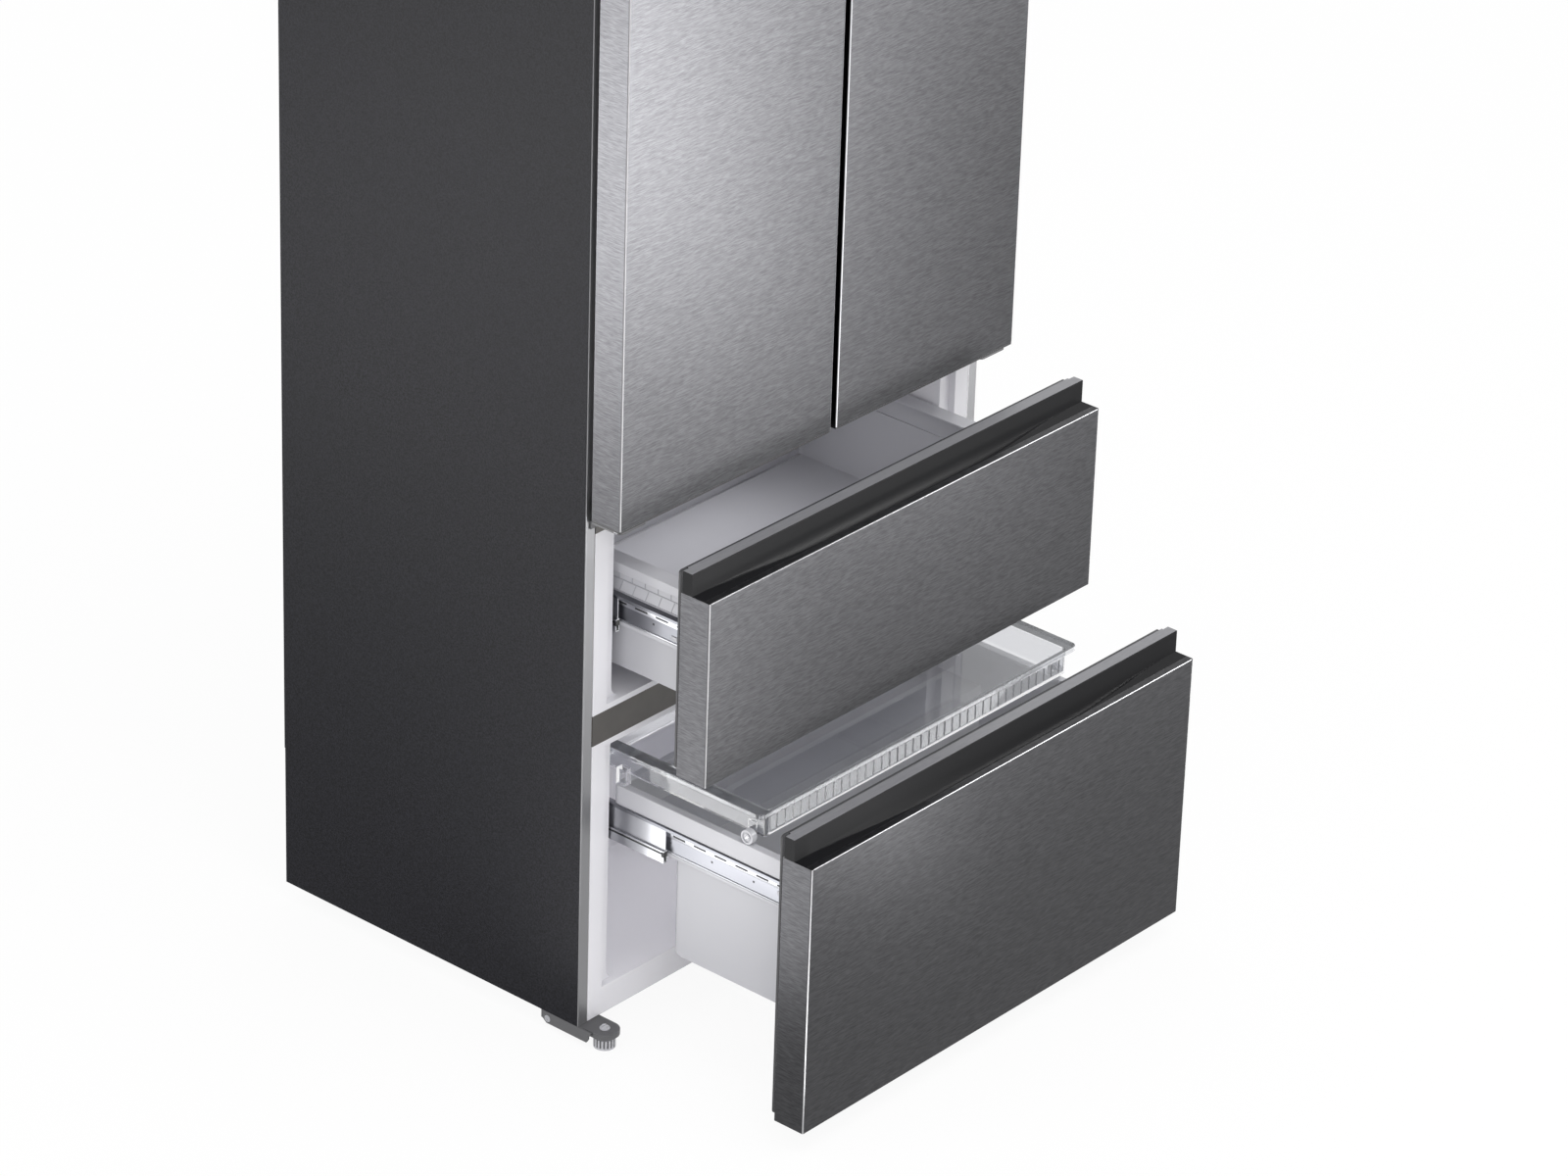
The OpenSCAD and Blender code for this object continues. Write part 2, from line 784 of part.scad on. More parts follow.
module glass_shelves() {
    color(clear) in_frame() for (x = [left_cavity_x, right_cavity_x], z = shelf_levels)
        along_z(z, z + glass_t)
            rounded_rect([x[0] + 1.5, shelf_y[0]], [x[1] - 1.5, shelf_y[1]], 5);
}

// Slots in a plate across y, in rows
module air_slots(x0, x1, z0, z1, y) {
    for (z = [z0 : 12 : z1]) along_y(y - 10, y + 10) rounded_rect([x0, z], [x1, z + 5], 2.4);
}

// Evaporator cover with the fan's opening and shaft, and a duct column in each fridge
module air_duct_covers() {
    plate = 2.5;
    color(white) in_frame() {
        difference() {
            along_y(freezer_back, freezer_back + plate)
                rounded_rect([-wall_x + 0.5, upper_mouth[0] + 0.5], [wall_x - 0.5, upper_mouth[1] - 0.5],
                    liner_r);
            translate([0, freezer_back - cut, fan_z]) rotate([-90, 0, 0]) cylinder(r = 50, h = 9);
            air_slots(-330, -120, upper_mouth[0] + 30, upper_mouth[0] + 80, freezer_back);
            air_slots(120, 330, upper_mouth[0] + 30, upper_mouth[0] + 80, freezer_back);
        }
        translate([0, freezer_back, fan_z]) rotate([-90, 0, 0]) {
            for (x = [-36, -18, 18, 36]) translate([x - 1, -50, 0.4]) cube([2, 100, plate - 0.8]);
            translate([-51, -1.5, 0.2]) cube([102, 3, plate - 0.4]);
            translate([-1.5, -51, 0.2]) cube([3, 102, plate - 0.4]);
            cylinder(r = 12, h = plate);
            cylinder(r = 3, h = 34);
        }
        for (x = [left_cavity_x, right_cavity_x]) {
            mid = (x[0] + x[1]) / 2;
            difference() {
                along_z(shelf_levels[0] + 20, fridge_mouth[1] - 20) {
                    rounded_rect([mid - 70, fridge_back - 17], [mid + 70, fridge_back + 20], 8);
                }
                along_z(shelf_levels[0] + 22, fridge_mouth[1] - 22)
                    rect([mid - 67, fridge_back - 14], [mid + 67, fridge_back + 40]);
                block([mid - 90, fridge_back, 0], [mid + 90, fridge_back + 50, top_z]);
                air_slots(mid - 40, mid + 40, shelf_levels[1] + 30, shelf_levels[1] + 80,
                    fridge_back - 17);
                air_slots(mid - 40, mid + 40, shelf_levels[2] + 30, shelf_levels[2] + 80,
                    fridge_back - 17);
            }
        }
    }
}

// A core with fins standing out of it, between two end plates with the tubes' bends
module finned_coil(x0, x1, y0, y1, z0, z1, pitch, t, foot) {
    rows = floor((z1 - z0) / 28);
    block([x0, y0 + 12, z0], [x1, y1 - 12, z1 - 2]);
    for (x = [x0 + pitch : pitch : x1 - pitch]) block([x, y0, z0 + 1], [x + t, y1, z1 - 3]);
    for (x = [x0, x1 - 2]) block([x, y0 - 1, foot], [x + 2, y1 + 1, z1]);
    for (i = [0:rows - 1], x = [x0 - 9, x1 - 2]) block([x, y0 + 8, z0 + 10 + i * 28],
        [x + 11, y1 - 8, z0 + 18 + i * 28]);
}

module evaporator() {
    color(zinc) in_frame() {
        finned_coil(-250, 250, freezer_back + 6, fridge_back - 4, upper_mouth[0] + 16,
            upper_mouth[0] + 128, 20, 0.6, upper_mouth[0]);
    }
}

module fan(r, bore, h) {
    difference() {
        union() {
            cylinder(r = r * 0.3, h = h);
            for (a = [0:72:359]) rotate([0, 0, a]) translate([0, -h * 0.1, h / 2]) rotate([0, 0, 0])
                intersection() {
                    rotate([38, 0, 0]) translate([0, -r * 0.36, -0.8]) cube([r, r * 0.72, 1.6]);
                    translate([0, 0, -h / 2]) cylinder(r = r, h = h);
                }
        }
        translate([0, 0, -cut]) cylinder(r = bore + fit, h = h - 3);
    }
}

module freezer_fan() {
    color(black) in_frame() translate([0, freezer_back + 6, fan_z])
        rotate([-90, 0, 0]) fan(44, 3, 34);
}

// Condenser over the drain pan, with the fan's shroud and motor beside it
module condenser_coil() {
    color(black) in_frame() {
        finned_coil(condenser_x, condenser_x + condenser_w, bay_y + 60, bay_y + 200,
            case_z + 60, bay_z - 41, 14, 0.8, case_z + base_t);
        difference() {
            block([fan_x, bay_y + 40, case_z + base_t], [fan_x + 2, bay_y + 220, bay_z - 26]);
            translate([fan_x - cut, bay_y + 130, bay_fan_z]) rotate([0, 90, 0]) cylinder(r = 72, h = 9);
        }
        translate([fan_x, bay_y + 130, bay_fan_z]) rotate([0, 90, 0]) {
            translate([-3, -74, 0.2]) cube([6, 148, 1.6]);
            translate([-74, -3, 0.3]) cube([148, 6, 1.4]);
            cylinder(r = 20, h = 2);
            translate([0, 0, 1]) cylinder(r = 3, h = 28);
        }
    }
}

module condenser_fan() {
    color(black) in_frame() translate([fan_x + 5, bay_y + 130, bay_fan_z])
        rotate([0, 90, 0]) fan(66, 3, 30);
}

module compressor() {
    color(black) in_frame() translate([compressor_x, bay_y + 140, case_z + base_t]) {
        for (x = [-75, 75], y = [-45, 45]) translate([x, y, 0]) {
            cylinder(r = 12, h = 8);
            cylinder(r = 9, h = 14);
        }
        translate([-92, -60, 8]) cube([184, 120, 3]);
        translate([0, 0, 11]) cylinder(r = 50, h = 20);
        translate([0, 0, 31]) rotate_extrude() {
            difference() {
                union() {
                    rounded_rect([-72, 0], [72, 60], 22);
                    rounded_rect([-68, 40], [68, 140], 34);
                }
                translate([-100, -1]) square([100, 200]);
            }
        }
        translate([60, -20, 60]) cube([36, 40, 50]);
        for (y = [-30, 30]) translate([-40, y, 140]) cylinder(r = 4, h = 36);
    }
}

module drain_pan() {
    color(black) in_frame() tub([pan_x, bay_y + 20, case_z + base_t],
        [pan_x + pan_w, bay_y + 240, case_z + 32], 2, 6, 10);
}

module machine_cover() {
    color(zinc) in_frame() difference() {
        block([-cover_x, cab_d - 4.5, case_z + base_t], [cover_x, cab_d - 3.5, bay_z - base_t]);
        for (x = [-400:60:340], z = [case_z + 50 : 20 : bay_z - 60])
            along_y(cab_d - 10, cab_d) rounded_rect([x, z], [x + 46, z + 7], 3.4);
    }
}

// Open box with a rounded bottom edge at the front and back, and rounded upright edges
module tub(lo, hi, t, r, corner) {
    difference() {
        intersection() {
            along_z(lo.z, hi.z) rounded_rect([lo.x, lo.y], [hi.x, hi.y], corner);
            along_x(lo.x, hi.x) rounded_rect([lo.y, lo.z], [hi.y, hi.z + 3 * r], r);
        }
        intersection() {
            along_z(lo.z + t, hi.z + cut)
                rounded_rect([lo.x + t, lo.y + t], [hi.x - t, hi.y - t], max(corner - t, 1));
            along_x(lo.x, hi.x)
                rounded_rect([lo.y + t, lo.z + t], [hi.y - t, hi.z + 3 * r], r - t / 2);
        }
    }
}

// Doors, drawn on the right: x0 is the free edge, and the hinge is on the outer side

module door_plan(x0, inset) {
    folded_plan(x0 + inset, front_x - inset, door_front + inset, door_back - inset, bend_r);
}

module door_skin(x0) {
    along_z(door_z0, door_z1 - cap_z) difference() {
        folded_plan(x0, front_x, door_front, door_back, bend_r);
        rect([x0 + sheet_t, door_front + sheet_t], [front_x - sheet_t, door_back - sheet_t]);
        rect([x0 + return_w, door_back - 3], [front_x - return_w, door_back + cut]);
    }
}

// End cap: an outer plate and a plug inside the skin, bored for the hinge pin
module door_cap(x0, plate_z, plug_z) {
    difference() {
        union() {
            along_z(plate_z[0], plate_z[1]) door_plan(x0, 0.3);
            along_z(plug_z[0], plug_z[1]) {
                rect([x0 + sheet_t, door_front + sheet_t], [front_x - sheet_t, door_back - sheet_t]);
                rect([x0 + return_w, door_back - 3], [front_x - return_w, door_back]);
            }
        }
        translate([hinge_x, hinge_y, 0]) cylinder(r = pin_r + fit, h = top_z);
    }
}

module door_caps(x0) {
    door_cap(x0, [door_z0 - cap_z, door_z0], [door_z0, door_z0 + cap_plug]);
    door_cap(x0, [door_z1 - cap_z, door_z1], [door_z1 - cap_z - cap_plug, door_z1 - cap_z]);
}

// Inner panel with its raised frame, filled by the door's insulation
module door_liner(x0, free) {
    z = [door_z0 + cap_plug, door_z1 - cap_z - cap_plug];
    block([x0 + sheet_t, door_front + sheet_t, z[0]], [front_x - sheet_t, door_back - sheet_t, z[1]]);
    block([x0 + return_w, door_back - 3, z[0]], [front_x - return_w, door_back, z[1]]);
    lo = [free + 12, fridge_mouth[0] + 10];
    hi = [dyke_x, fridge_mouth[1] - 10];
    along_y(door_back, door_back + 3) rounded_rect(lo, hi, 14);
    along_y(door_back, dyke_y) ring(lo, hi, dyke_w, 14);
    for (z = bin_levels, x = [lo.x + dyke_w - 1, hi.x - dyke_w - 8])
        block([x, door_back + 2, z + 20], [x + 9, dyke_y - 10, z + 26]);
}

module gasket(x0, x1, z0, z1, back) {
    along_y(back, back + 3) ring([x0 + 3, z0 + 3], [x1 - 3, z1 - 3], gasket_w - 6, 4);
    along_y(back + 3, back + front_gap - gasket_gap) ring([x0, z0], [x1, z1], gasket_w, 5);
}

module door_gasket(x0) {
    gasket(x0 + gasket_edge, half_w - hinge_edge, door_z0 + gasket_edge, door_z1 - gasket_edge,
        door_back);
}

module door_bins(free) {
    for (i = [0:2])
        tub([free + 12 + dyke_w + 8, door_back + 4, bin_levels[i]],
            [dyke_x - dyke_w - 8, door_back + 4 + bin_depths[i], bin_levels[i] + bin_h],
            bin_t, 10, 8);
}

module left_door_skin() {
    color(steel) in_frame() mirror([1, 0, 0]) door_skin(-door_split_left);
}

module right_door_skin() {
    color(steel) in_frame() door_skin(door_split_right);
}

module left_door_caps() {
    color(black) in_frame() mirror([1, 0, 0]) door_caps(-door_split_left);
}

module right_door_caps() {
    color(black) in_frame() door_caps(door_split_right);
}

module left_door_liner() {
    color(white) in_frame() mirror([1, 0, 0]) door_liner(-door_split_left, -left_cavity_x[1]);
}

module right_door_liner() {
    color(white) in_frame() door_liner(door_split_right, right_cavity_x[0]);
}

module left_door_gasket() {
    color(rubber) in_frame() mirror([1, 0, 0]) door_gasket(-door_split_left);
}

module right_door_gasket() {
    color(rubber) in_frame() door_gasket(door_split_right);
}

module left_door_bins() {
    color(clear) in_frame() mirror([1, 0, 0]) door_bins(-left_cavity_x[1]);
}

module right_door_bins() {
    color(clear) in_frame() door_bins(right_cavity_x[0]);
}

// Drawer fronts

// Folded steel front; its top edge is folded back into the lip of the handle
module front_skin(f, z0, z1) {
    b = f + panel_t;
    along_z(z0, z1) difference() {
        folded_plan(-front_x, front_x, f, b, bend_r);
        rect([-front_x + sheet_t, f + sheet_t], [front_x - sheet_t, b - sheet_t]);
        rect([-front_x + return_w, b - 3], [front_x - return_w, b + cut]);
    }
    block([-front_x + sheet_t, f + sheet_t, z0], [front_x - sheet_t, b - sheet_t, z0 + sheet_t]);
    block([-front_x + sheet_t, f + sheet_t, z1 - sheet_t], [front_x - sheet_t, f + lip_w, z1]);
    block([-front_x + sheet_t, f + lip_w - sheet_t, z1 - lip_h], [front_x - sheet_t, f + lip_w, z1]);
}

// The scoop's outline seen from above: full depth in the middle, and tapered ends
module scoop_plan(f) {
    lip = f + lip_w;
    wall = f + panel_t - handle_wall_t;
    end = front_x - scoop_end;
    both_sides() polygon([[-1, lip], [end - scoop_taper, lip],
        [end - scoop_taper * 0.81, wall - (wall - lip) * 0.84],
        [end - scoop_taper * 0.5, wall - (wall - lip) * 0.53],
        [end - scoop_taper * 0.19, wall - (wall - lip) * 0.18],
        [end, wall], [-1, wall]]);
}

// Handle moulding: the back wall, and the finger scoop behind the steel lip
module handle(f, z1) {
    b = f + panel_t;
    wall = b - handle_wall_t;
    px = front_x - sheet_t;
    z0 = z1 - scoop_depth - 8;
    mid_x = front_x - scoop_end - scoop_taper;
    difference() {
        union() {
            block([-px, f + sheet_t, z0], [px, b - sheet_t, z1 - lip_h]);
            block([-px, f + lip_w, z1 - lip_h], [px, b - sheet_t, z1]);
            block([-front_x + return_w, b - 3, z0], [front_x - return_w, b, z1]);
            intersection() {
                along_x(-front_x, front_x)
                    rounded_rect([wall, z1 - 20], [b, z1 + handle_wall_h], 3);
                block([-half_w, f, z1], [half_w, 1000, z1 + 100]);
            }
        }
        for (x = [-half_w, front_x - 12]) block([x, b - 3, z1], [x + 12.5, b + 1, z1 + 100]);
        intersection() {
            along_z(z0, z1 + cut) scoop_plan(f);
            along_x(-half_w, half_w)
                rounded_rect([f + lip_w - 0.01, z1 - scoop_depth], [wall, z1 + 50], scoop_side_r);
        }
        along_x(-mid_x, mid_x) translate([wall - scoop_r - 5, z1 - scoop_depth + scoop_r])
            circle(scoop_r);
    }
}

// Inner panel of a drawer front, filled by its insulation
module front_liner(f, z0, z1) {
    b = f + panel_t;
    top = z1 - scoop_depth - 8;
    px = front_x - sheet_t;
    block([-px, f + sheet_t, z0 + sheet_t], [px, b - sheet_t, top]);
    block([-front_x + return_w, b - 3, z0 + sheet_t], [front_x - return_w, b, top]);
}

module drawer_gasket(z0, z1, back) {
    gasket(-front_x + gasket_edge, front_x - gasket_edge, z0 + gasket_edge,
        z1 + handle_wall_h - gasket_edge, back);
}

module upper_front_skin() {
    color(steel) in_frame() front_skin(upper_front, upper_z0, upper_z1);
}

module lower_front_skin() {
    color(steel) in_frame() front_skin(lower_front, lower_z0, lower_z1);
}

module upper_handle() {
    color(charcoal) in_frame() handle(upper_front, upper_z1);
}

module lower_handle() {
    color(charcoal) in_frame() handle(lower_front, lower_z1);
}

module upper_front_liner() {
    color(white) in_frame() front_liner(upper_front, upper_z0, upper_z1);
}

module lower_front_liner() {
    color(white) in_frame() front_liner(lower_front, lower_z0, lower_z1);
}

module upper_gasket() {
    color(rubber) in_frame() drawer_gasket(upper_z0, upper_z1, upper_back);
}

module lower_gasket() {
    color(rubber) in_frame() drawer_gasket(lower_z0, lower_z1, lower_back);
}

// Bins

// Rim of folded section: a flat top with a skirt round the outside
module bin_rim(x, y, z, w, h) {
    difference() {
        along_z(z - h, z) rounded_rect([-x, y[0]], [x, y[1]], 10);
        along_z(z - h - cut, z - 3) rounded_rect([-x + 3, y[0] + 3], [x - 3, y[1] - 3], 7);
        along_z(z - 4, z + cut) rounded_rect([-x + w, y[0] + w], [x - w, y[1] - w], 8);
    }
}

module upper_bin() {
    z = [upper_bin_z, upper_rim_z - upper_rim_h - band_h, upper_rim_z - 3];
    y = upper_bin_y;
    color(clear) in_frame() difference() {
        union() {
            intersection() {
                along_z(z[0], z[1] + 1) rounded_rect([-rail_x, y[0]], [rail_x, y[1]], 8);
                along_x(-half_w, half_w) rounded_rect([y[0], z[0]], [y[1], z[1] + 60], 18);
            }
            along_z(z[1], z[2] - upper_rim_h + 3)
                rounded_rect([-band_x, y[0]], [band_x, y[1]], 9);
            along_z(z[1], z[2]) rounded_rect([-rail_x - 2, y[0] + 4], [rail_x + 2, y[1] - 4], 9);
        }
        along_z(z[0] + bin_t, z[2] + cut)
            rounded_rect([-rail_x + bin_t, y[0] + 6.5], [rail_x - bin_t, y[1] - 6.5], 6);
        along_z(z[1] + bin_t, z[2] + cut)
            rounded_rect([-rail_x - 2 + bin_t, y[0] + 6.5], [rail_x + 2 - bin_t, y[1] - 6.5], 6);
    }
}

module upper_bin_rim() {
    color(white) in_frame()
        bin_rim(rim_x, upper_bin_y, upper_rim_z, upper_rim_w, upper_rim_h);
}

// Deep well in front, and a shallow part over the machine compartment's step
module lower_bin() {
    z = [lower_bin_z, shelf_bin_z, lower_rim_z - lower_rim_h, lower_rim_z - 3];
    y = [lower_bin_y[0], lower_bin_y[0] + lower_well_d, lower_bin_y[1]];
    color(clear) in_frame() difference() {
        union() {
            intersection() {
                along_z(z[0], z[2]) rounded_rect([-rail_x, y[0]], [rail_x, y[1]], 8);
                along_x(-half_w, half_w) {
                    rounded_rect([y[0], z[0]], [y[1], z[2] + 60], 18);
                }
                union() {
                    along_x(-half_w, half_w) rounded_rect([y[0], z[0]], [y[1], z[2] + 60], 10);
                }
            }
            along_z(z[2] - 1, z[3]) rounded_rect([-rail_x + 4, y[0] + 4], [rail_x - 4, y[2] - 4], 6);
            intersection() {
                along_z(z[1], z[2]) rounded_rect([-rail_x, y[0]], [rail_x, y[2]], 8);
                along_x(-half_w, half_w) rounded_rect([y[0], z[1]], [y[2], z[2] + 60], 8);
            }
        }
        along_x(-rail_x + bin_t, rail_x - bin_t)
            rounded_rect([y[0] + bin_t, z[0] + bin_t], [y[1] - bin_t, z[2] - 1], 15);
        along_z(z[1] + bin_t, z[2] - 1)
            rounded_rect([-rail_x + bin_t, y[0] + bin_t], [rail_x - bin_t, y[2] - bin_t], 6);
        along_z(z[2] - 2, z[3] + cut)
            rounded_rect([-rail_x + 6.5, y[0] + 6.5], [rail_x - 6.5, y[2] - 6.5], 4);
    }
}

module lower_bin_rim() {
    color(white) in_frame()
        bin_rim(rim_x, lower_bin_y, lower_rim_z, lower_rim_w, lower_rim_h);
}

// Clear tray, slotted in front, with lugs for its rollers and shoes at the back
module clear_tray() {
    y = tray_y;
    roller_z = lower_rim_z + tray_roller_r;
    pitch = (2 * tray_x - 40) / tray_slots;
    color(clear) in_frame() {
        difference() {
            union() {
                tub([-tray_x, y[0], tray_z], [tray_x, y[1], tray_rim_z], bin_t, 10, 8);
                along_z(tray_rim_z - 8, tray_rim_z) difference() {
                    rounded_rect([-tray_rim_x, y[0] - 4], [tray_rim_x, y[1] + 4], 12);
                    rounded_rect([-tray_x + 1, y[0] + 1], [tray_x - 1, y[1] - 1], 7);
                }
            }
            along_z(tray_rim_z - 10, tray_rim_z - 2.5) difference() {
                rounded_rect([-tray_rim_x + 2.5, y[0] - 1.5], [tray_rim_x - 2.5, y[1] + 1.5], 10);
                rounded_rect([-tray_x, y[0]], [tray_x, y[1]], 8);
            }
            for (i = [0:tray_slots]) along_y(y[0] - 1, y[0] + bin_t + 1) {
                x = -tray_x + 20 + i * pitch;
                rect([x - tray_slot_w / 2, tray_z + 11], [x + tray_slot_w / 2, tray_z + 11 + tray_slot_h]);
            }
        }
        both_sides() {
            block([tray_x - 1, tray_roller_y[0] - 8, roller_z - 8],
                [tray_x + 2, tray_roller_y[0] + 8, tray_z + 20]);
            translate([tray_x, tray_roller_y[0], roller_z]) rotate([0, 90, 0]) cylinder(r = 3, h = 14.5);
            block([tray_x - 1, tray_roller_y[1] - 9, lower_rim_z],
                [tray_x + 13, tray_roller_y[1] + 9, tray_z + 12]);
        }
    }
}

module tray_rollers() {
    color(white) in_frame() both_sides()
        translate([tray_x + 3, tray_roller_y[0], lower_rim_z + tray_roller_r]) rotate([0, 90, 0])
            difference() {
                cylinder(r = tray_roller_r - 0.1, h = 11);
                translate([0, 0, -cut]) cylinder(r = 3 + fit, h = 20);
                translate([0, 0, 9]) difference() {
                    cylinder(r = tray_roller_r - 3, h = 4);
                    cylinder(r = 5.5, h = 9, center = true);
                }
            }
}

left_side_panel();
right_side_panel();
top_panel();
back_panel();
base_chassis();
front_mullions();
left_fridge_liner();
right_fridge_liner();
upper_freezer_liner();
lower_freezer_liner();
cabinet_foam();
top_hinges();
top_hinge_covers();
centre_hinges();
foot_brackets();
case_screws();
fixed_rails();
compressor();
condenser_coil();
drain_pan();
machine_cover();
evaporator();
air_duct_covers();
glass_shelves();
condenser_fan();
freezer_fan();
left_front_foot();
right_front_foot();
left_rear_roller();
right_rear_roller();
left_crisper();
right_crisper();
left_door_skin();
left_door_caps();
left_door_liner();
left_door_gasket();
left_door_bins();
right_door_skin();
right_door_caps();
right_door_liner();
right_door_gasket();
right_door_bins();
upper_front_skin();
upper_handle();
upper_front_liner();
upper_gasket();
upper_bin();
upper_bin_rim();
upper_drawer_rails();
lower_front_skin();
lower_handle();
lower_front_liner();
lower_gasket();
lower_bin();
lower_bin_rim();
lower_drawer_rails();
upper_mid_rails();
lower_mid_rails();
clear_tray();
tray_rollers();
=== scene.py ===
# %% [markdown]
# # A fridge freezer with two doors and two freezer drawers
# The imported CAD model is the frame: every solid already has its true size and place. This
# lesson dresses it. Some pieces only need a material, some get rounded edges, and the handles,
# the gaskets and the small fittings are built again with the shapes that CAD left plain.

# %% Load the frame
import bpy
import bmesh
import json
import math
from mathutils import Matrix, Vector


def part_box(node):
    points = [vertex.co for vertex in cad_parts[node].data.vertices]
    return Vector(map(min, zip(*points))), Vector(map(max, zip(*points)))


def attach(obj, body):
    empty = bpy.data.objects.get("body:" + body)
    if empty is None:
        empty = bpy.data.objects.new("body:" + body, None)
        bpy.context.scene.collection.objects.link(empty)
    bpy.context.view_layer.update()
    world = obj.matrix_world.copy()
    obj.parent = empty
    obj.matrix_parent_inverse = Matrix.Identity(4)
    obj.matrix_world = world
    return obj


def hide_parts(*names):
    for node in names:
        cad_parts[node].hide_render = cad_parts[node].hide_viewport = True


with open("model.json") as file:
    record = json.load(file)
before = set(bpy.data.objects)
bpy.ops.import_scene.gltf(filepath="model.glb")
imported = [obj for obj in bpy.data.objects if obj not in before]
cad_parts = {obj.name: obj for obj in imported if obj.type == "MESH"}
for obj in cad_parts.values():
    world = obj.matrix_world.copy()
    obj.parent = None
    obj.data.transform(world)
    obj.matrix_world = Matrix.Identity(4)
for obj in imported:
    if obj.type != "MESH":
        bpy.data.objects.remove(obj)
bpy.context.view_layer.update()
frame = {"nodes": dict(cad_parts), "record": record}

nodes = frame["nodes"]

# %% [markdown]
# ## Small helpers
# Blender works in metres and in linear light, while a maker thinks in millimetres and picks
# colours as sRGB hex values. One number and one small function do both conversions, and a
# second function adds one shader or geometry node with its values and links, so that each
# recipe reads as a list. The CAD record says which body and which finish each node has.

# %% Helpers
MM = 0.001


def linear(code, alpha=1.0):
    """An sRGB hex colour as the linear values that Blender's sockets take."""
    out = []
    for i in (1, 3, 5):
        v = int(code[i:i + 2], 16) / 255
        out.append(v / 12.92 if v <= 0.04045 else ((v + 0.055) / 1.055) ** 2.4)
    return (*out, alpha)


def add(tree, kind, inputs=None, **settings):
    """Adds one node: settings are its own properties; inputs are values, or sockets to link."""
    node = tree.nodes.new(kind)
    for key, value in settings.items():
        setattr(node, key, value)
    for key, value in (inputs or {}).items():
        if isinstance(value, bpy.types.NodeSocket):
            tree.links.new(value, node.inputs[key])
        else:
            node.inputs[key].default_value = value
    return node


def find_body(node):
    """The body that a CAD node rides on."""
    for body, members in frame["record"]["behaviour"]["bodies"].items():
        if node in members:
            return body


SLOT = {row["node"]: row["material_slot"] for row in frame["record"]["subparts"]}
print("finishes in the record:", len(set(SLOT.values())))

# %% [markdown]
# ## Camera
# The camera was fitted to straight edges of the appliance whose directions are known. It stands
# high on the left and looks down through a long lens, so that parallel edges stay almost
# parallel. The film is 36 mm wide, and a focal length of 145.6 mm gives the measured view.

# %% Camera
CAMERA_AT = Vector((-6626.4, -5708.5, 5212.9)) * MM
YAW, PITCH, ROLL = (math.radians(a) for a in (-49.7064, 27.8324, 1.8846))
LENS_MM = 145.63
FILM_MM = 36
ahead = Vector((-math.sin(YAW) * math.cos(PITCH), math.cos(YAW) * math.cos(PITCH),
                -math.sin(PITCH)))
level_right = Vector((math.cos(YAW), math.sin(YAW), 0))
level_up = level_right.cross(ahead)
right = level_right * math.cos(ROLL) + level_up * math.sin(ROLL)
up = level_up * math.cos(ROLL) - level_right * math.sin(ROLL)
turned = Matrix((right, up, -ahead)).transposed().to_4x4()
camera = bpy.data.objects.new("camera", bpy.data.cameras.new("camera"))
camera.matrix_world = Matrix.Translation(CAMERA_AT) @ turned
camera.data.lens = LENS_MM
camera.data.sensor_width = FILM_MM
camera.data.clip_end = 60
bpy.context.scene.collection.objects.link(camera)
bpy.context.scene.camera = camera
bpy.context.scene.view_settings.view_transform = "Standard"
print("camera looks along", [round(v, 3) for v in ahead])

# %% [markdown]
# ## Studio lights
# A product shot of steel is a picture of its surroundings. The world is plain white and gives
# most of the light. Two soft boxes add shading from above. Three small lights reach what the
# white world can't: the front feet and the inside of the two freezer compartments. Glossy faces
# don't show them.

# %% World, soft boxes and fill lights
world = bpy.data.worlds.new("studio")
bpy.context.scene.world = world
world.use_nodes = True
world.node_tree.nodes["Background"].inputs["Color"].default_value = linear("#ffffff")
world.node_tree.nodes["Background"].inputs["Strength"].default_value = 1.0


def lamp(name, at, target, size, watts):
    """A square soft box that the camera doesn't see."""
    light = bpy.data.lights.new(name, "AREA")
    light.size = size
    light.energy = watts
    obj = bpy.data.objects.new(name, light)
    aim = (Vector(target) - Vector(at)).to_track_quat("-Z", "Y")
    obj.matrix_world = Matrix.Translation(at) @ aim.to_matrix().to_4x4()
    obj.visible_camera = False
    bpy.context.scene.collection.objects.link(obj)
    return obj


lamp("key_softbox", (-3.2, -4.2, 4.2), (0, 0, 0.9), 2.4, 36)
lamp("top_softbox", (-0.3, -1.6, 4.4), (0, -0.4, 0.6), 2.0, 45)
fills = [
    lamp("kick_fill", (-1.1, -1.3, 0.14), (-0.3, -0.09, 0.04), 0.5, 2.6),
    lamp("lower_compartment_light", (0, 0.2, 0.49), (0, 0.0, 0.1), 0.4, 1.6),
    lamp("upper_compartment_light", (0, 0.1, 0.86), (0, -0.2, 0.6), 0.4, 1.1),
]
for fill in fills:
    fill.visible_glossy = False
print("soft boxes: 2, fill lights:", len(fills))

# %% [markdown]
# ## Reflection cards
# A surface sends the view on at a mirror's angle, so the place of each card follows from the
# view: fronts look down to the right, side bands look down to the back left, the rounded folds
# look at the floor in front, and the rolled upper edges of the fronts look up to the front
# right. The cards only show in reflections and light no matt surface.

# %% Cards
# The camera's own turn about the vertical, in degrees: a card turned by it lies square to the
# view.
VIEW_TURN = 49.7


